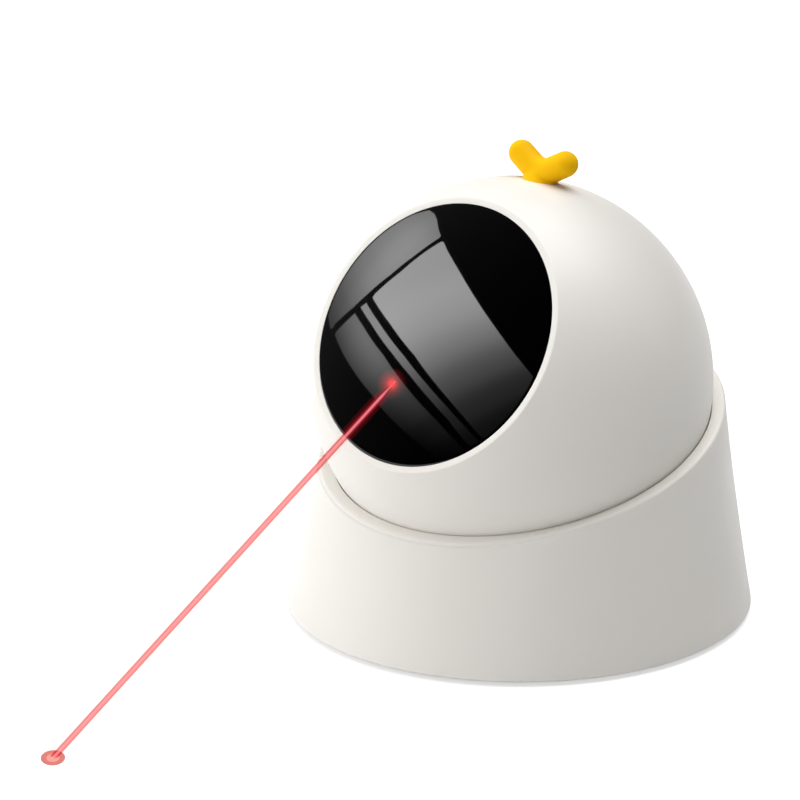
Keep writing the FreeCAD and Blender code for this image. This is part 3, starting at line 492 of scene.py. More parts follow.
# %% Seam and stem hole
SEAM_DROP = 16.0
SPROUT_LEAN = -12.6
STEM_HOLE_R = 1.7
THROUGH = 3.0
lean = math.radians(COLLAR_LEAN)
collar_up = Vector((0, -math.sin(lean), math.cos(lean)))
seam_point = BALL_CENTRE - collar_up * SEAM_DROP
edit(upper_shell)
bpy.ops.mesh.select_all(action="SELECT")
bpy.ops.mesh.bisect(
    plane_co=seam_point * MM, plane_no=collar_up, use_fill=True, clear_inner=True
)
done()
stem_hole = rod(STEM_HOLE_R, INNER_R - THROUGH, BALL_R + THROUGH)
combined(upper_shell, settled(stem_hole, lean=SPROUT_LEAN, at=BALL_CENTRE))
smooth(upper_shell)
finished(upper_shell, "shell_white", "head", "ball_upper_shell")

# %% [markdown]
# The base narrows from a round foot to the tilted collar, so it isn't turned. It is built as
# a potter would raise it: a ring at the floor is extruded upwards in small steps, and each
# new ring is moved, shrunk and leaned a little more. A ring is its middle, its radius and its
# lean.

# %% Raising a wall from rings
BASE_R = 46.35
RIM_R = 40.95
RIM_DROP = 12.2
WAIST = 0.5
FOOT_PROUD = 0.8
rim_centre = BALL_CENTRE - collar_up * RIM_DROP


def wall_ring(share, inset=0.0):
    """Middle, radius and lean of the wall at a share of its height."""
    low = Vector((0, 0, FOOT_PROUD))
    middle = low + (rim_centre - low) * share
    radius = BASE_R + (RIM_R - BASE_R) * share - 4 * WAIST * share * (1 - share) - inset
    return middle, radius, COLLAR_LEAN * share


def collar_ring(radius, height):
    """Ring in the collar's lean, this high over the ball's centre."""
    return BALL_CENTRE + collar_up * height, radius, COLLAR_LEAN


def raised(name, rings, sides):
    """Piece raised from a flat ring by extruding it through a list of rings."""
    start_fresh()
    bpy.ops.mesh.primitive_circle_add(
        vertices=sides, radius=rings[0][1] * MM, location=rings[0][0] * MM, fill_type="NOTHING"
    )
    piece = edit(applied(named(name)))
    bpy.ops.mesh.select_all(action="SELECT")
    for (here, radius, leans), (there, next_radius, next_leans) in zip(rings, rings[1:]):
        bpy.ops.mesh.extrude_edges_move()
        bpy.ops.transform.translate(value=(there - here) * MM)
        share = next_radius / radius
        bpy.ops.transform.resize(value=(share, share, share), center_override=there * MM)
        if next_leans != leans:
            bpy.ops.transform.rotate(
                value=math.radians(leans - next_leans), orient_axis="X",
                center_override=there * MM,
            )
    bpy.ops.mesh.select_all(action="SELECT")
    bpy.ops.mesh.remove_doubles(threshold=MERGE_WITHIN * MM)
    bpy.ops.mesh.normals_make_consistent(inside=False)
    done()
    return piece


# %% [markdown]
# The housing's rings in their order: the rounded edge of the foot, the outside wall, the
# rounded rim, and the collar's narrow land. Past the land the rings follow the ball's socket
# for a few millimetres and run down again as the inside wall, to where they began.

# %% Housing of the base
RIM_ROUND = 0.65
FOOT_ROUND = 0.5
FOOT_INSET = 0.06
ROUND_TURNS = (0.0, 0.4, 0.8, 1.2)
WALL_RINGS = 28
FIRST_RING_GAP = 0.05
SOCKET_R = 40.18
SOCKET_RINGS = 8
COLLAR_DEPTH = 3.6
MOUTH_DEPTH = 0.15
MOUTH_ROUND = ((0.14, 0.0), (0.02, 0.05))
BASE_WALL = 1.8
INNER_TOP = 0.9
INNER_WALL_TOP = 0.85
INNER_RINGS = 12


def rounded(size, turn):
    """How far a rounded edge has come along its two sides after a turn, in radians."""
    return size * (1 - math.cos(turn)), size * (1 - math.sin(turn))


foot_edge = []
for turn in ROUND_TURNS:
    up, inward = rounded(FOOT_ROUND, turn)
    foot_edge.append((Vector((0, 0, FOOT_PROUD + up)), BASE_R - FOOT_INSET - inward, 0.0))
first_height = FOOT_PROUD + FOOT_ROUND + FIRST_RING_GAP
wall = [wall_ring(i / WALL_RINGS) for i in range(WALL_RINGS)]
wall = [ring for ring in wall if ring[0].z > first_height]
land = -RIM_DROP
rim = []
for turn in ROUND_TURNS + (math.pi / 2,):
    inward, down = rounded(RIM_ROUND, turn)
    rim.append(collar_ring(RIM_R - inward, land - down))
mouth_r = level_on(SOCKET_R, land)[0]
mouth = [collar_ring(mouth_r + out, land - down) for out, down in MOUTH_ROUND]
socket_step = (COLLAR_DEPTH - MOUTH_DEPTH) / SOCKET_RINGS
socket_heights = [land - MOUTH_DEPTH - socket_step * i for i in range(SOCKET_RINGS + 1)]
socket = [collar_ring(*level_on(SOCKET_R, height)) for height in socket_heights]
shoulder = [collar_ring(wall_ring(INNER_TOP, BASE_WALL)[1], socket_heights[-1])]
shares = [INNER_WALL_TOP * (1 - i / INNER_RINGS) for i in range(INNER_RINGS + 1)]
inner_wall = [wall_ring(share, BASE_WALL) for share in shares]
close = [(Vector((0, 0, FOOT_PROUD)), BASE_R - BASE_WALL, 0.0), foot_edge[0]]
base_rings = foot_edge + wall + rim + mouth + socket + shoulder + inner_wall + close
base_housing = raised("base_housing", base_rings, FINE_STEPS)
print("rings", len(base_rings), "collar's mouth", round(mouth_r, 2))

# %% [markdown]
# The back wall has three holes, each a little larger than what stands in it: an oval one for
# the charging socket, a round one for the power button, and a small one for the light guide.
# A cutter is made standing on the Z axis and then laid down to point backwards.

# %% Holes at the back
PORT_Z = 9.0
PORT_HALF = (4.5, 1.6)
PORT_PLAY = 0.3
BUTTON_Z = 20.0
BUTTON_R = 4.0
BUTTON_PLAY = 0.15
LIGHT_X = 8.0
LIGHT_R = 1.25
LIGHT_PLAY = 0.05
SLOT_SIDES = 48
BACK_WALL = (38.2, 48.35)


def slot_rod(half_width, half_height, low, high, name="slot"):
    """Closed rod with a section like a running track: two half circles pulled apart."""
    piece = edit(rod(half_height, low, high, SLOT_SIDES, name))
    bpy.ops.mesh.select_all(action="SELECT")
    half_side = math.pi / SLOT_SIDES
    bpy.ops.transform.rotate(value=half_side, orient_axis="Z", center_override=(0, 0, 0))
    for sign in (-1, 1):
        pick(piece, lambda v: v.x * sign > 0)
        bpy.ops.transform.translate(value=(sign * (half_width - half_height) * MM, 0, 0))
    done()
    return piece


def backward(piece, x=0.0, z=0.0):
    """Lay a piece that stands on the Z axis down so that it points to the back."""
    return settled(piece, lean=-90, at=(x, 0, z))


port_hole = slot_rod(PORT_HALF[0] + PORT_PLAY, PORT_HALF[1] + PORT_PLAY, *BACK_WALL)
backward(port_hole, 0, PORT_Z)
button_hole = backward(rod(BUTTON_R + BUTTON_PLAY, *BACK_WALL, 64), 0, BUTTON_Z)
light_hole = backward(rod(LIGHT_R + LIGHT_PLAY, *BACK_WALL, 32), LIGHT_X, BUTTON_Z)
combined(base_housing, joined(port_hole, button_hole, light_hole))
smooth(base_housing)
finished(base_housing, "shell_white", "root", "base_shell")

# %% [markdown]
# The dark window is a shallow dome of smoked acrylic with a flat edge. It is turned about the
# same line as its opening. Its edge is eased by a twentieth of a millimetre, because a
# perfectly sharp edge catches no light.

# %% Window
DOME_R = 85.0
PANE_R = 27.02
PANE_THICK = 2.0
PANE_FLAT = 2.1
EDGE_ROUND = 0.05
dome_centre = LIP_LEVEL - math.sqrt(DOME_R ** 2 - PANE_R ** 2)
edge_angle = math.degrees(math.acos((PANE_R - EDGE_ROUND) / DOME_R))
hollow_angle = math.degrees(math.acos((PANE_R - PANE_FLAT) / (DOME_R - PANE_THICK)))
dome = arc(DOME_R, 90, edge_angle, 48, dome_centre)
hollow = arc(DOME_R - PANE_THICK, hollow_angle, 90, 24, dome_centre)
edge = [
    (PANE_R - EDGE_ROUND / 4, LIP_LEVEL - EDGE_ROUND / 4), (PANE_R, LIP_LEVEL - EDGE_ROUND),
    (PANE_R, LEDGE_LEVEL), (PANE_R - PANE_FLAT, LEDGE_LEVEL),
]
window = turned("smoked_window", dome + edge + hollow, FINE_STEPS)
settled(window, lean=90 - FACE_ELEVATION, at=BALL_CENTRE)
smooth(window)
finished(window, "window_black", "head", "window")

# %% [markdown]
# The sprout is one soft moulding, like two bean leaves on a short foot. Its top is a fat V
# with round ends. A circle is spun through the V's tight bend, and its two end faces are
# pulled out straight to the ends. A curve with a round bevel could do the same, but it would
# have to be made a mesh before the rest could be joined to it.

# %% Arms of the sprout
LOBE_SPREAD = 5.55
LOBE_HEIGHT = 44.3
LOBE_R = 2.63
ARM_LOW = 41.85
ARM_BEND_R = 5.2
ON_END_FACE = 0.01
bend_height = ARM_LOW + ARM_BEND_R
drop = bend_height - LOBE_HEIGHT
half_turn = math.asin(ARM_BEND_R / math.hypot(LOBE_SPREAD, drop)) - math.atan2(drop, LOBE_SPREAD)
bend_centre = Vector((0, 0, bend_height * MM))
start_fresh()
bpy.ops.mesh.primitive_circle_add(
    vertices=64, radius=LOBE_R * MM, location=(0, 0, ARM_LOW * MM),
    rotation=(0, math.pi / 2, 0), fill_type="NGON",
)
sprout = edit(applied(named("two_leaf_sprout")))
bpy.ops.mesh.select_all(action="SELECT")
bpy.ops.transform.rotate(value=-half_turn, orient_axis="Y", center_override=bend_centre)
bpy.ops.mesh.spin(steps=24, angle=2 * half_turn, center=bend_centre, axis=(0, 1, 0))
for sign in (-1, 1):
    bend_end = Vector((sign * math.sin(half_turn), 0, -math.cos(half_turn))) * ARM_BEND_R
    bend_end += bend_centre / MM
    pull = (Vector((sign * LOBE_SPREAD, 0, LOBE_HEIGHT)) - bend_end) * MM
    pick(sprout, lambda v: abs((v - bend_end).dot(pull)) < ON_END_FACE * MM)
    bpy.ops.mesh.extrude_region_move(TRANSFORM_OT_translate={"value": pull})
bpy.ops.mesh.select_all(action="SELECT")
bpy.ops.mesh.normals_make_consistent(inside=False)
done()
arm_ends = [v.co.x / MM for v in sprout.data.vertices]
print("arms from", round(min(arm_ends), 2), "to", round(max(arm_ends), 2))

# %% [markdown]
# A ball rounds off each arm, and a turned foot carries them. A remesh then blends them all
# into one skin, and a few rounds of smoothing soften the creases, as the soft moulding has
# none. The stem with its snap shoulder stays crisp, so it is added afterwards.

# %% Lobes, foot and stem of the sprout
SKIN_VOXEL = 0.16
SKIN_ROUNDS = 28
foot_outline = [(0, 38.6), (3.9, 38.6), (3.6, 39.9), (2.6, 41.7), (0, 42.3)]
stem_outline = [
    (0, 36.5), (1.65, 36.5), (2.3, 37.8), (1.65, 37.9), (1.65, 40.6), (0, 40.6),
]
lobes = []
for sign in (-1, 1):
    start_fresh()
    bpy.ops.mesh.primitive_uv_sphere_add(
        segments=48, ring_count=32, radius=LOBE_R * MM,
        location=(sign * LOBE_SPREAD * MM, 0, LOBE_HEIGHT * MM),
    )
    lobes.append(named("lobe"))
joined(sprout, turned("foot", foot_outline, 64), *lobes)
remesh = sprout.modifiers.new("one_skin", "REMESH")
remesh.mode = "VOXEL"
remesh.voxel_size = SKIN_VOXEL * MM
bpy.ops.object.modifier_apply(modifier=remesh.name)
relax = sprout.modifiers.new("relax", "SMOOTH")
relax.iterations = SKIN_ROUNDS
relax.factor = 0.5
bpy.ops.object.modifier_apply(modifier=relax.name)
combined(sprout, turned("stem", stem_outline, 48), "UNION")
settled(sprout, lean=SPROUT_LEAN, at=BALL_CENTRE)
smooth(sprout, 40)
finished(sprout, "sprout_yellow", "head", "sprout")

# %% [markdown]
# The ball's lower shell goes on from the seam. Its outline is turned about the collar's line:
# the ball's outside up to the seam, a step inwards, the tongue that stands in the upper shell,
# and the inside.

# %% Lower shell of the ball
TONGUE_R = 37.9
TONGUE_THICK = 1.2
TONGUE_HEIGHT = 2.0
SKIRT_DEPTH = 2.0
SEAM_EASE = 0.1
SHORT_OF_SEAM = 0.2
SHORT_OF_SKIRT = 0.5
seam = -SEAM_DROP
tongue_inner_r = TONGUE_R - TONGUE_THICK
skin = arc(BALL_R, -90, angle_on(BALL_R, seam) - SHORT_OF_SEAM, 72)
step = [level_on(BALL_R - SEAM_EASE, seam), level_on(TONGUE_R, seam)]
tongue = [level_on(radius, seam + TONGUE_HEIGHT) for radius in (TONGUE_R, tongue_inner_r)]
skirt = [level_on(radius, seam - SKIRT_DEPTH) for radius in (tongue_inner_r, INNER_R)]
lining = arc(INNER_R, angle_on(INNER_R, seam - SKIRT_DEPTH) - SHORT_OF_SKIRT, -90, 60)
lower_shell = turned("head_lower_shell", skin + step + tongue + skirt + lining, FINE_STEPS)
print("lower shell", len(lower_shell.data.polygons), "faces before cutting")

# %% [markdown]
# Three posts in the lower shell take the screws from below. The tongue makes room for the
# upper shell's bosses over them, the posts are trimmed to the ball, and a stepped hole goes
# up through each. The fork comes up through a wide opening, so a cone is taken out at the
# bottom.

# %% Screw posts and the fork's opening
SHELL_SCREW_R = 33.0
SHELL_SCREW_ANGLES = (90, 210, 330)
SHELL_SCREW_SEAT = -17.6
WELL_R = 2.2
SHANK_HOLE_R = 1.0
POST_R = 3.0
BOSS_PLAY = 0.2
POST_SUNK = 1.0
OPENING_HALF_ANGLE = 34.0
OPENING_LEAN = -4.0
OPENING_REACH = 45.0


def places_on_ring(radius, angles):
    """Points on a circle about the axis, by degrees."""
    turns = [math.radians(angle) for angle in angles]
    return [(radius * math.cos(turn), radius * math.sin(turn)) for turn in turns]


def at_each_screw(make):
    """One of these tools at each of the shell's screws, as one piece."""
    return joined(*[settled(make(), at=(x, y, 0)) for x, y in shell_screw_places])


shell_screw_places = places_on_ring(SHELL_SCREW_R, SHELL_SCREW_ANGLES)
combined(lower_shell, at_each_screw(lambda: rod(POST_R + BOSS_PLAY, seam, 0)))
posts = at_each_screw(lambda: rod(POST_R, -BALL_R, seam))
core = turned("core", arc(BALL_R - POST_SUNK, -90, 90, 96), 128)
combined(lower_shell, combined(posts, core, "INTERSECT"), "UNION")
well = [
    (0, -BALL_R), (WELL_R, -BALL_R), (WELL_R, SHELL_SCREW_SEAT),
    (SHANK_HOLE_R, SHELL_SCREW_SEAT), (SHANK_HOLE_R, 0), (0, 0),
]
combined(lower_shell, at_each_screw(lambda: turned("hole", well, 48)))
settled(lower_shell, lean=COLLAR_LEAN, at=BALL_CENTRE)
spread = OPENING_REACH * math.tan(math.radians(OPENING_HALF_ANGLE))
opening = turned("opening", [(0, 0), (spread, -OPENING_REACH), (0, -OPENING_REACH)])
combined(lower_shell, settled(opening, lean=OPENING_LEAN, at=BALL_CENTRE))
smooth(lower_shell)
finished(lower_shell, "shell_white", "head", "ball_lower_shell")

# %% [markdown]
# The power button has a flange that keeps it in the wall, a rounded edge, and a shallow
# hollow for a fingertip. It is turned standing and then laid down to point backwards.

# %% Power button
BUTTON_BACK = 39.7
BUTTON_FACE = 44.0
FLANGE_R = 5.0
FLANGE_TOP = 40.5
BUTTON_ROUND = 0.5
FINGER_HOLLOW = ((2.9, 0.0), (1.6, 0.16), (0.0, 0.22))
button_outline = [
    (0, BUTTON_BACK), (FLANGE_R, BUTTON_BACK), (FLANGE_R, FLANGE_TOP), (BUTTON_R, FLANGE_TOP),
    (BUTTON_R, BUTTON_FACE),
]
button_outline += [(radius, BUTTON_FACE - depth) for radius, depth in FINGER_HOLLOW]
button = turned("power_push_button", eased(button_outline, BUTTON_ROUND, 6), 96)
backward(button, 0, BUTTON_Z)
smooth(button)
finished(button, "shell_white", "button", "power_button")

# %% [markdown]
# The charging socket is a case of bent sheet with a tongue inside that carries the contacts.
# The case is hollowed with a smaller rod of the same section, and a narrow bevel rolls the
# edge of its mouth. The tongue comes last, so the bevel leaves it crisp.

# %% Charging socket
SOCKET_BACK = 36.2
SOCKET_FACE = 43.9
SOCKET_SHEET = 0.3
SOCKET_HOLLOW = 6.2
SOCKET_ROLL = 0.1
CUT_TO = 50.0
CONTACT_HALF = (3.3, 0.35)
CONTACT_FROM = 6.4
CONTACT_TO = 0.8


def brick(low, high):
    """Plain closed box between two corners, in millimetres."""
    start_fresh()
    low, high = Vector(low) * MM, Vector(high) * MM
    bpy.ops.mesh.primitive_cube_add(size=1, location=(low + high) / 2, scale=high - low)
    return applied(named("brick"))


charging_mouth = slot_rod(*PORT_HALF, SOCKET_BACK, SOCKET_FACE, "charging_mouth")
inner_half = [half - SOCKET_SHEET for half in PORT_HALF]
combined(charging_mouth, slot_rod(*inner_half, SOCKET_FACE - SOCKET_HOLLOW, CUT_TO))
roll = charging_mouth.modifiers.new("rolled_edge", "BEVEL")
roll.width = SOCKET_ROLL * MM
roll.segments = 3
roll.angle_limit = math.radians(50)
take(charging_mouth)
bpy.ops.object.modifier_apply(modifier=roll.name)
contact_x, contact_y = CONTACT_HALF
contacts = brick(
    (-contact_x, -contact_y, SOCKET_FACE - CONTACT_FROM),
    (contact_x, contact_y, SOCKET_FACE - CONTACT_TO),
)
combined(charging_mouth, contacts, "UNION")
backward(charging_mouth, 0, PORT_Z)
smooth(charging_mouth, 35)
finished(charging_mouth, "socket_steel", "root", "charging_socket")

# %% [markdown]
# The light guide is a clear rod with a flange that brings the small lamp's light to the back
# wall, where it ends in a low dome.

# %% Light guide
GUIDE_ROUND = 0.12
guide_outline = [
    (0, 37.8), (2.05, 37.8), (2.05, 38.8), (LIGHT_R, 38.8), (LIGHT_R, 42.6), (0.9, 42.8),
    (0, 42.9),
]
guide = turned("light_pipe", eased(guide_outline, GUIDE_ROUND), 48)
backward(guide, LIGHT_X, BUTTON_Z)
smooth(guide)
finished(guide, "light_clear", "root", "light_guide")

# %% [markdown]
# The soft ring under the toy is turned with rounded edges, so that it meets the table softly.
# Its outline starts in the middle of the underside, because the ends of an outline aren't
# eased.

# %% Foot ring
RING_INNER_R = 40.0
RING_OUTER_R = 43.4
RING_TOP = 1.7
RING_ROUND = 0.35
ring_middle = (RING_INNER_R + RING_OUTER_R) / 2
ring_outline = [
    (ring_middle, 0), (RING_OUTER_R, 0), (RING_OUTER_R, RING_TOP), (RING_INNER_R, RING_TOP),
    (RING_INNER_R, 0), (ring_middle, 0),
]
foot_ring = turned("soft_foot_ring", eased(ring_outline, RING_ROUND, 4))
smooth(foot_ring)
finished(foot_ring, "foot_grey", "root", "foot_ring")

# %% [markdown]
# All screws that show from below come from one recipe: a shank with a pointed tip, a head
# with rounded shoulders, and two crossed grooves cut into it. The first is modelled head up,
# and its copies are turned over onto their seats.

# %% Recipe for a row of screws
GROOVE_HALF = 0.2
GROOVE_REACH = 0.55
GROOVE_FLOOR = 0.35
SCREW_ROUND = 0.25


def screw_row(name, places, seat, tip, head, head_r=2.0, shank_r=0.9):
    """Cross-head screws with the head under its seat and the tip above it."""
    length = tip - seat
    outline = [
        (0, -length), (shank_r * 0.4, -length), (shank_r, -length + shank_r), (shank_r, 0),
        (head_r, 0), (head_r, head * 0.5), (head_r * 0.75, head), (0, head),
    ]
    first = turned("screw", eased(outline, SCREW_ROUND), 40)
    reach, floor_of_groove = GROOVE_REACH * head_r, GROOVE_FLOOR * head
    for turn in (0, 90):
        groove = brick((-reach, -GROOVE_HALF, floor_of_groove), (reach, GROOVE_HALF, head + 1))
        combined(first, settled(groove, turn=turn))
    row = []
    for x, y in places:
        take(first)
        bpy.ops.object.duplicate()
        row.append(settled(named(name), lean=180, at=(x, y, seat)))
    bpy.data.objects.remove(first)
    return smooth(joined(*row))


# %% [markdown]
# Four screws hold the bottom cover, three hold the bowl, and three go up through the lower
# shell's posts, so that last row takes the collar's lean.

# %% Screws
COVER_SCREW_R = 37.0
COVER_SCREW_ANGLES = (45, 135, 225, 315)
COVER_SCREW_TIP = 10.8
BOWL_SCREW_PLACES = [(-12, -29), (12, -29), (0, 28)]
BOWL_SCREW_TIP = 9.8
LOW_SEAT = 1.8
LOW_HEAD = 0.9
SHELL_SCREW_BITE = 6.5
SHELL_HEAD = 1.3
cover_places = places_on_ring(COVER_SCREW_R, COVER_SCREW_ANGLES)
cover_row = screw_row("cover_screw_row", cover_places, LOW_SEAT, COVER_SCREW_TIP, LOW_HEAD)
finished(cover_row, "screw_steel", "root", "cover_screws")
bowl_row = screw_row("bowl_screw_row", BOWL_SCREW_PLACES, LOW_SEAT, BOWL_SCREW_TIP, LOW_HEAD)
finished(bowl_row, "screw_steel", "root", "bowl_screws")
shell_row = screw_row(
    "shell_screw_row", shell_screw_places, SHELL_SCREW_SEAT, seam + SHELL_SCREW_BITE,
    SHELL_HEAD, shank_r=0.8,
)
settled(shell_row, lean=COLLAR_LEAN, at=BALL_CENTRE)
finished(shell_row, "screw_steel", "head", "shell_screws")

# %% [markdown]
# The pieces that the eye seldom reaches keep their own meshes from the frame. Those meshes
# are loose triangles, so a Weld modifier joins them and an Edge Split keeps their corners
# crisp while their round faces shade smoothly.

# %% Dress the frame's own nodes
for name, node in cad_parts.items():
    node.data.materials.clear()
    node.data.materials.append(FINISHES[slot_of[name]])
    node.data.polygons.foreach_set("use_smooth", [True] * len(node.data.polygons))
    weld = node.modifiers.new("weld", "WELD")
    weld.merge_threshold = 0.001 * MM
    crisp = node.modifiers.new("crisp", "EDGE_SPLIT")
    crisp.split_angle = math.radians(30)
print("dressed", len(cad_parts), "nodes")

# %% [markdown]
# The floor is white and still takes the toy's soft shadow. Camera and mirror rays see some
# light added to it, so that it reads as white without more light falling on the toy. The
# added light grows with the distance, because the lamps' own light fades there. Stronger
# lamps would whiten the floor too, but they would wash out the toy.

# %% Floor
FLOOR_SIZE = 6.0
FLOOR_DROP = 0.02
PAPER = 0.62
LIGHT_GROWS = (0.35, 1.1)
ADDED_LIGHT = (0.55, 1.0)


def new_node(tree, kind, operation=None):
    """A node of this kind, with its operation where it has one."""
    made = tree.nodes.new(kind)
    if operation:
        made.operation = operation
    return made


def bare_material(name):
    """A material whose tree holds its output alone, with that tree and that output."""
    material = bpy.data.materials.new(name)
    material.use_nodes = True
    tree = material.node_tree
    tree.nodes.clear()
    return material, tree, new_node(tree, "ShaderNodeOutputMaterial")


start_fresh()
bpy.ops.mesh.primitive_plane_add(size=FLOOR_SIZE, location=(0, 0, -FLOOR_DROP * MM))
floor = applied(named("floor"))
floor_white, tree, output = bare_material("floor_white")
path = new_node(tree, "ShaderNodeLightPath")
seen = path.outputs["Is Camera Ray"]
for ray in ("Is Glossy Ray", "Is Transmission Ray"):
    either = new_node(tree, "ShaderNodeMath", "MAXIMUM")
    tree.links.new(seen, either.inputs[0])
    tree.links.new(path.outputs[ray], either.inputs[1])
    seen = either.outputs[0]
place = new_node(tree, "ShaderNodeTexCoord")
distance = new_node(tree, "ShaderNodeVectorMath", "LENGTH")
tree.links.new(place.outputs["Object"], distance.inputs[0])
added = ranged(tree, distance.outputs["Value"], *LIGHT_GROWS, *ADDED_LIGHT)
strength = new_node(tree, "ShaderNodeMath", "MULTIPLY")
tree.links.new(seen, strength.inputs[0])
tree.links.new(added, strength.inputs[1])
lift = new_node(tree, "ShaderNodeEmission")
tree.links.new(strength.outputs[0], lift.inputs["Strength"])
paper = new_node(tree, "ShaderNodeBsdfDiffuse")
paper.inputs["Color"].default_value = (PAPER, PAPER, PAPER, 1)
both = new_node(tree, "ShaderNodeAddShader")
tree.links.new(paper.outputs[0], both.inputs[0])
tree.links.new(lift.outputs[0], both.inputs[1])
tree.links.new(both.outputs[0], output.inputs["Surface"])
floor.data.materials.append(floor_white)
print("floor", FLOOR_SIZE, "m wide, paper", PAPER)

# %% [markdown]
# The room round the stage is pale for the camera and almost dark for everything else, so it
# closes the picture above the floor and doesn't flatten the lamps' light.

# %% World
ROOM_LIGHT = 0.03
BACKDROP_LIGHT = 1.0
world = bpy.data.worlds.new("studio")
bpy.context.scene.world = world
world.use_nodes = True
tree = world.node_tree
tree.nodes.clear()
output = new_node(tree, "ShaderNodeOutputWorld")
path = new_node(tree, "ShaderNodeLightPath")
switch = new_node(tree, "ShaderNodeMixShader")
tree.links.new(path.outputs["Is Camera Ray"], switch.inputs["Fac"])
for index, light in enumerate((ROOM_LIGHT, BACKDROP_LIGHT)):
    background = new_node(tree, "ShaderNodeBackground")
    background.inputs["Strength"].default_value = light
    tree.links.new(background.outputs[0], switch.inputs[index + 1])
tree.links.new(switch.outputs[0], output.inputs["Surface"])
print("room light", ROOM_LIGHT)

# %% [markdown]
# The camera looks from the front right, about 20 degrees above the table, through a long
# lens, so the ball stays round. Its place and its aim are two points.

# %% Camera
CAMERA_AT = Vector((1194.957, -1452.059, 724.674))
CAMERA_AIM = Vector((-17.058, -16.710, 43.529))
LENS = 453.754
SENSOR = 36
NEAREST = 0.05
FARTHEST = 20
lens_data = bpy.data.cameras.new("camera")
lens_data.lens = LENS
lens_data.sensor_width = SENSOR
lens_data.clip_start = NEAREST
lens_data.clip_end = FARTHEST
camera = bpy.data.objects.new("camera", lens_data)
bpy.context.scene.collection.objects.link(camera)
camera.location = CAMERA_AT * MM
camera.rotation_euler = (CAMERA_AIM - CAMERA_AT).to_track_quat("-Z", "Y").to_euler()
bpy.context.scene.camera = camera
print("camera", round((CAMERA_AT - CAMERA_AIM).length), "mm away")

# %% [markdown]
# The light is that of a bright room. Three large soft lamps stand round the camera's left, as
# one wide window would, weak ones fill in from the front and from above, and a strong one
# hangs high behind on the right and lights the floor. One huge lamp would be simpler, but its
# light couldn't be shared out between the sides. All but the last are hidden from mirror
# rays, because the satin shell and the window would show them as bright patches.

# %% Lamps
to_camera = (CAMERA_AT - CAMERA_AIM).normalized()
level_to_camera = Vector((to_camera.x, to_camera.y, 0)).normalized()
to_right = Vector((0, 0, 1)).cross(to_camera).normalized()
TOY_MIDDLE = Vector((0, 0, 45))


def lamp(name, round_by, above, far, size, level, shine=False):
    """Soft square lamp, by degrees to the camera's right and above the table, and mm away.

    Level is the light it adds to a surface that faces it, where 1 shows a colour as written.
    """
    turn, rise_by = math.radians(round_by), math.radians(above)
    flat = level_to_camera * math.cos(turn) + to_right * math.sin(turn)
    place = TOY_MIDDLE + (flat * math.cos(rise_by) + Vector((0, 0, math.sin(rise_by)))) * far
    data = bpy.data.lights.new(name, "AREA")
    data.shape = "SQUARE"
    data.size = size * MM
    data.energy = level * (math.pi * far * MM) ** 2
    made = bpy.data.objects.new(name, data)
    bpy.context.scene.collection.objects.link(made)
    made.location = place * MM
    made.rotation_euler = (TOY_MIDDLE - place).to_track_quat("-Z", "Y").to_euler()
    made.visible_glossy = shine
    print(name, "level", level)


lamp("near_left_lamp", -70, 20, far=900, size=700, level=0.25)
lamp("left_lamp", -97, 12, far=900, size=700, level=0.46)
lamp("far_left_lamp", -138, 28, far=900, size=700, level=0.4)
lamp("front_lamp", -15, 12, far=1000, size=500, level=0.18)
lamp("high_lamp", 0, 60, far=900, size=800, level=0.17)
lamp("top_lamp", 130, 74, far=900, size=800, level=1.0, shine=True)

# %% [markdown]
# The black window mirrors what stands in front of it, so it gets its own cards: a black one,
# and bright panels with dark bars between them, like a soft box. They lie in one plane,
# square to the direction in which the window's middle mirrors the camera, and each is one
# flat face, given by its corners on that plane in millimetres. Only mirror rays see the
# cards, so they light nothing, and light linking keeps their gleam off the white shell,
# which is satin and would catch it.

# %% Where the mirror cards stand
CARD_ORIGIN = Vector((-318.2, -418.9, 391.0))
card_normal = Vector((0.53630, 0.64705, -0.54196)).normalized()
card_right = Vector((0, 0, 1)).cross(card_normal).normalized()
card_up = card_normal.cross(card_right)
mirrors = bpy.data.collections.new("mirrors_of_the_cards")
mirrors.objects.link(window)


def card(name, corners, material, ahead=0.0):
    """Flat face between points on the card plane, seen by mirror rays alone."""
    start_fresh()
    bpy.ops.mesh.primitive_circle_add(vertices=len(corners), radius=1, fill_type="NGON")
    piece = named(name)
    for vertex, (x, y) in zip(piece.data.vertices, corners):
        vertex.co = (CARD_ORIGIN + card_right * x + card_up * y + card_normal * ahead) * MM
    piece.data.materials.append(material)
    piece.visible_camera = False
    piece.visible_diffuse = False
    piece.visible_shadow = False
    piece.visible_transmission = False
    piece.visible_volume_scatter = False
    piece.light_linking.receiver_collection = mirrors
    print(name, len(corners), "corners")


# %% [markdown]
# A panel isn't evenly bright: it fades along one direction or two, by shares of its strength.
# A fade is a direction on the card and a list of stops. Each point's place along the
# direction is a dot product, a colour ramp turns that place into a share, and the shares of
# all fades are multiplied with the panel's strength.

# %% Light that fades


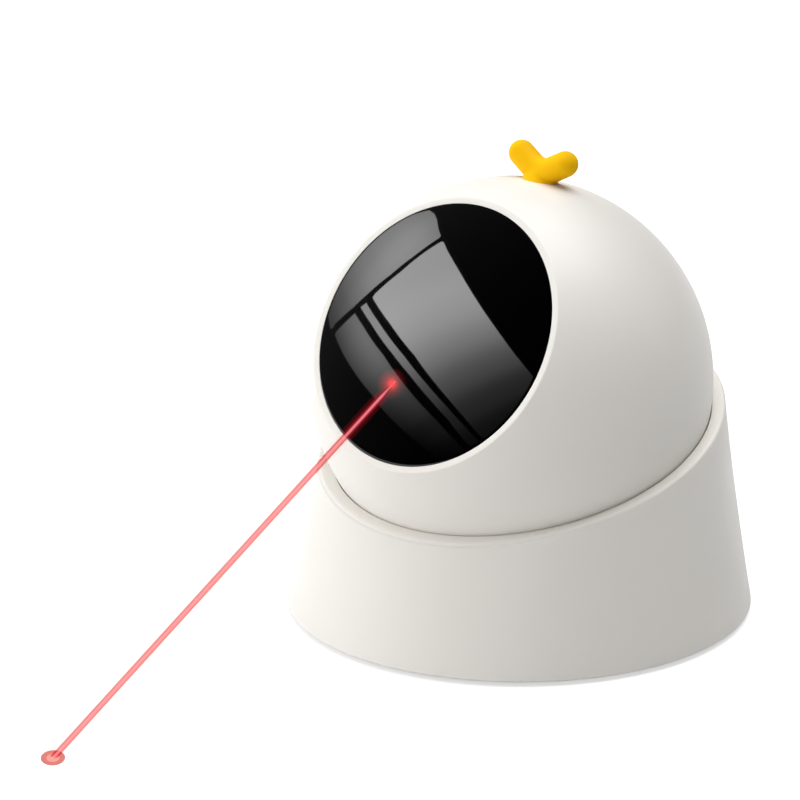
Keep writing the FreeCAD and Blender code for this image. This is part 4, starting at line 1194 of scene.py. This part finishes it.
def share_along(tree, direction, stops):
    """Share of the light at each point, by its place along a direction on the card."""
    place = new_node(tree, "ShaderNodeTexCoord")
    along = new_node(tree, "ShaderNodeVectorMath", "DOT_PRODUCT")
    along.inputs[1].default_value = direction
    tree.links.new(place.outputs["Object"], along.inputs[0])
    offset = CARD_ORIGIN.dot(direction)
    first, last = stops[0][0], stops[-1][0]
    limits = ((offset + first) * MM, (offset + last) * MM)
    ramp = new_node(tree, "ShaderNodeValToRGB")
    ramp.color_ramp.interpolation = "CARDINAL"
    while len(ramp.color_ramp.elements) < len(stops):
        ramp.color_ramp.elements.new(0.5)
    for element, (where, share) in zip(ramp.color_ramp.elements, stops):
        element.position = (where - first) / (last - first)
        element.color = (share, share, share, 1)
    tree.links.new(ranged(tree, along.outputs["Value"], *limits, 0, 1), ramp.inputs["Fac"])
    return ramp.outputs["Color"]


def glow(name, strength, *fades):
    """Light that fades: each fade is a direction on the card and (place, share) stops."""
    material, tree, output = bare_material(name)
    light = new_node(tree, "ShaderNodeEmission")
    light.inputs["Strength"].default_value = strength
    tree.links.new(light.outputs[0], output.inputs["Surface"])
    level = None
    for (right_share, up_share), stops in fades:
        direction = card_right * right_share + card_up * up_share
        times = new_node(tree, "ShaderNodeMath", "MULTIPLY")
        times.inputs[1].default_value = strength
        if level:
            tree.links.new(level, times.inputs[1])
        tree.links.new(share_along(tree, direction, stops), times.inputs[0])
        level = times.outputs[0]
    if level:
        tree.links.new(level, light.inputs["Strength"])
    return material


# %% [markdown]
# The lights of the cards. The lower panels share one fade, from the dark low left to the
# bright high right, and the side panel also darkens towards its lower edge. The top panel has
# a fade of its own, bright in the middle and dim at its ends. The black card is not quite
# black: like a real room, it is a little lighter to the right.

# %% Lights of the cards
RIGHTWARD = (1, 0)
UPWARD = (0, 1)
SLANT = (0.83, 0.56)
ACROSS_SIDE = (-0.146, 1)
low_fade = [
    (-400, 0.012), (-300, 0.04), (-200, 0.13), (-100, 0.38), (0, 0.78), (100, 0.98),
    (200, 0.88), (320, 0.8),
]
side_fade = [(-251, 0.3), (-168, 1.0)]
top_fade = [
    (-210, 0.16), (-155, 0.3), (-111, 0.48), (-58, 0.74), (0, 0.92), (60, 1.0), (120, 0.94),
    (180, 0.74),
]
top_end_fade = [(260, 1.0), (350, 0.99), (450, 0.74), (620, 0.5)]
black_fade = [(-600, 0.0), (-100, 0.08), (250, 0.6), (600, 1.0)]
black = glow("card_black", 0.11, (RIGHTWARD, black_fade))
panel = glow("card_panel", 7.2, (SLANT, low_fade))
stripe_panel = glow("card_dim", 4.9, (SLANT, low_fade))
left_panel = glow("card_left", 2.9, (SLANT, low_fade), (ACROSS_SIDE, side_fade))
top_panel = glow("card_top_light", 4.7, (UPWARD, top_fade), (RIGHTWARD, top_end_fade))
print("card lights", 5)

# %% [markdown]
# The cards' outlines run round their corners in order. The domed window bends what it
# mirrors, so the long edges bow a little the other way, with a point wherever they turn.

# %% The five cards
FLAG_BEHIND = -5
card(
    "card_flag", [(-900, -520), (900, -520), (900, 620), (-900, 620)], black, FLAG_BEHIND
)
card(
    "card_top", [
        (700, -186), (535, -186), (498, -189), (458, -197), (444, -197), (434, -191),
        (432, -180), (375, -114), (345, -65), (306, 11), (283, 84), (268, 157), (271, 163),
        (306, 167), (353, 176), (391, 178), (437, 170), (700, 170),
    ], top_panel,
)
card(
    "card_big", [
        (310, -57), (306, -59), (254, -61), (169, -64), (94, -70), (23, -75), (-95, -95),
        (-166, -108), (-246, -125), (-354, -153), (-500, -190), (-500, 108), (-380, 117),
        (-264, 123), (-154, 131), (-66, 137), (95, 150), (195, 156), (240, 160), (248, 156),
        (261, 107), (277, 33), (311, -50),
    ], panel,
)
card(
    "card_stripe", [
        (337, -97), (245, -100), (165, -106), (97, -111), (-1, -122), (-100, -139),
        (-197, -158), (-288, -188), (-420, -215), (-420, -180), (-322, -162), (-261, -147),
        (-170, -128), (-66, -111), (51, -95), (131, -89), (217, -83), (323, -79),
    ], stripe_panel,
)
card(
    "card_side", [
        (400, -196), (305, -207), (218, -216), (100, -229), (38, -243), (-69, -260),
        (-158, -274), (-300, -296), (-420, -240), (-262, -205), (-171, -181), (-84, -166),
        (22, -147), (127, -130), (202, -125), (270, -120), (348, -118), (402, -190),
    ], left_panel,
)

# %% [markdown]
# The laser's beam isn't part of the toy, but the toy is about it. It is coloured air: a
# volume that gives off red and holds back green and blue. A glowing rod would be simpler, but
# its edges would be hard, while a ray near the rim of a volume passes through less of it, so
# the edges soften by themselves. What a mirror shouldn't show neither glows nor dims for
# mirror rays.

# %% Lit air
BEAM_EXIT = Vector((-2.37, -36.28, 55.71))
BEAM_END = Vector((-15.3, -122.1, 0.0))


def lit_air(piece, colour, strength, block=(1, 1, 1), density=0.0, mirrored=True):
    """Fill a closed piece with glowing and dimming air that rides on the laser.

    Where it isn't mirrored, reflections show nothing of it.
    """
    material, tree, output = bare_material(piece.name)
    shine = new_node(tree, "ShaderNodeEmission")
    shine.inputs["Color"].default_value = (*colour, 1)
    shine.inputs["Strength"].default_value = strength
    dim = new_node(tree, "ShaderNodeVolumeAbsorption")
    dim.inputs["Color"].default_value = (*block, 1)
    dim.inputs["Density"].default_value = density
    both = new_node(tree, "ShaderNodeAddShader")
    tree.links.new(shine.outputs[0], both.inputs[0])
    tree.links.new(dim.outputs[0], both.inputs[1])
    tree.links.new(both.outputs[0], output.inputs["Volume"])
    if not mirrored:
        mirror_ray = new_node(tree, "ShaderNodeLightPath").outputs["Is Glossy Ray"]
        for socket in (shine.inputs["Strength"], dim.inputs["Density"]):
            unseen = ranged(tree, mirror_ray, 0, 1, socket.default_value, 0)
            tree.links.new(unseen, socket)
    piece.data.materials.append(material)
    piece.visible_shadow = False
    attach(piece, "laser")
    print(piece.name, "glows", strength)


# %% [markdown]
# Three threads of this air, one inside the other, make a pink core, a red edge and a faint
# halo. They start inside the head and are thin up to the window, so wherever the laser
# points, the beam comes out of the window. Two cuts across each rod give it the rings where
# it widens.

# %% Laser beam
BEAM_HIDDEN = 11.0
WIDENS_FROM = 0.4
WIDENS_TO = 3.4
THIN_SHARE = 0.35
GLOW_SMOOTH = 60
beam_direction = (BEAM_END - BEAM_EXIT).normalized()


def thread(name, radius):
    """Closed rod along the beam from inside the head to the floor, thinner up to the window."""
    start = BEAM_EXIT - beam_direction * BEAM_HIDDEN
    piece = edit(rod(radius, 0, (BEAM_END - start).length, name=name))
    for past_exit in (WIDENS_FROM, WIDENS_TO):
        cut = Vector((0, 0, BEAM_HIDDEN + past_exit)) * MM
        bpy.ops.mesh.select_all(action="SELECT")
        bpy.ops.mesh.bisect(plane_co=cut, plane_no=(0, 0, 1))
    between_cuts = BEAM_HIDDEN + (WIDENS_FROM + WIDENS_TO) / 2
    pick(piece, lambda v: v.z < between_cuts)
    bpy.ops.transform.resize(value=(THIN_SHARE, THIN_SHARE, 1), center_override=(0, 0, 0))
    done()
    aim = beam_direction.to_track_quat("Z", "Y").to_matrix().to_4x4()
    piece.matrix_world = Matrix.Translation(start * MM) @ aim
    return smooth(applied(piece), GLOW_SMOOTH)


lit_air(thread("beam_core", 0.3), (1.0, 0.55, 0.72), 1500, mirrored=False)
lit_air(
    thread("beam_edge", 0.68), (1.0, 0.05, 0.09), 290,
    block=(0.5, 0.1, 0.02), density=1500, mirrored=False,
)
lit_air(
    thread("beam_halo", 1.4), (1.0, 0.02, 0.04), 22,
    block=(1.0, 0.55, 0.55), density=60, mirrored=False,
)

# %% [markdown]
# Where the beam leaves the window, the pane glows. Balls of the same air, one inside the
# other, add up to a glow that is strong in the middle and fades outwards.

# %% Glow at the window
GLOW_RED = (1.0, 0.03, 0.03)
EXIT_GLOW = (
    (0.7, 180), (0.95, 170), (1.25, 80), (1.55, 60), (1.95, 30), (2.4, 18), (3.0, 18),
)
for index, (radius, strength) in enumerate(EXIT_GLOW):
    start_fresh()
    bpy.ops.mesh.primitive_uv_sphere_add(
        segments=48, ring_count=24, radius=radius * MM, location=BEAM_EXIT * MM
    )
    ball = applied(named(f"exit_glow_{index}"))
    lit_air(smooth(ball, GLOW_SMOOTH), GLOW_RED, strength)

# %% [markdown]
# Where the beam meets the floor it makes a pale red spot, longer towards the camera than
# across. It is a flat disc with a brighter middle that gives off its own light, so its colour
# stays as written. A spot lamp could make it, but then the floor's other light would add to
# it.

# %% Spot on the floor
SPOT_HALF_WIDTH = 2.35
SPOT_HALF_LENGTH = 4.0
SPOT_RIM = 1.1
SPOT_LIFT = Vector((0, 0, 0.05))
SPOT_COLOURS = (linear(229, 133, 126), linear(251, 170, 157))
start_fresh()
bpy.ops.mesh.primitive_circle_add(vertices=64, radius=SPOT_HALF_WIDTH * MM, fill_type="NGON")
spot = named("beam_spot")
for part, colour in zip(("spot_rim", "spot_middle"), SPOT_COLOURS):
    material = glow(part, 1.0)
    material.node_tree.nodes["Emission"].inputs["Color"].default_value = (*colour, 1)
    spot.data.materials.append(material)
edit(spot)
bpy.ops.mesh.select_all(action="SELECT")
bpy.ops.mesh.inset(thickness=SPOT_RIM * MM)
spot.active_material_index = 1
bpy.ops.object.material_slot_assign()
done()
spot.scale = (SPOT_HALF_LENGTH / SPOT_HALF_WIDTH, 1, 1)
toward_camera = math.degrees(math.atan2(level_to_camera.y, level_to_camera.x))
settled(spot, turn=toward_camera, at=BEAM_END + SPOT_LIFT)
spot.visible_shadow = False
spot.visible_diffuse = False
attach(spot, "laser")
print("spot", 2 * SPOT_HALF_WIDTH, "by", 2 * SPOT_HALF_LENGTH, "mm")

# %% [markdown]
# Colours are shown as they are, with the Standard view.

# %% Output
scene = bpy.context.scene
scene.view_settings.view_transform = "Standard"
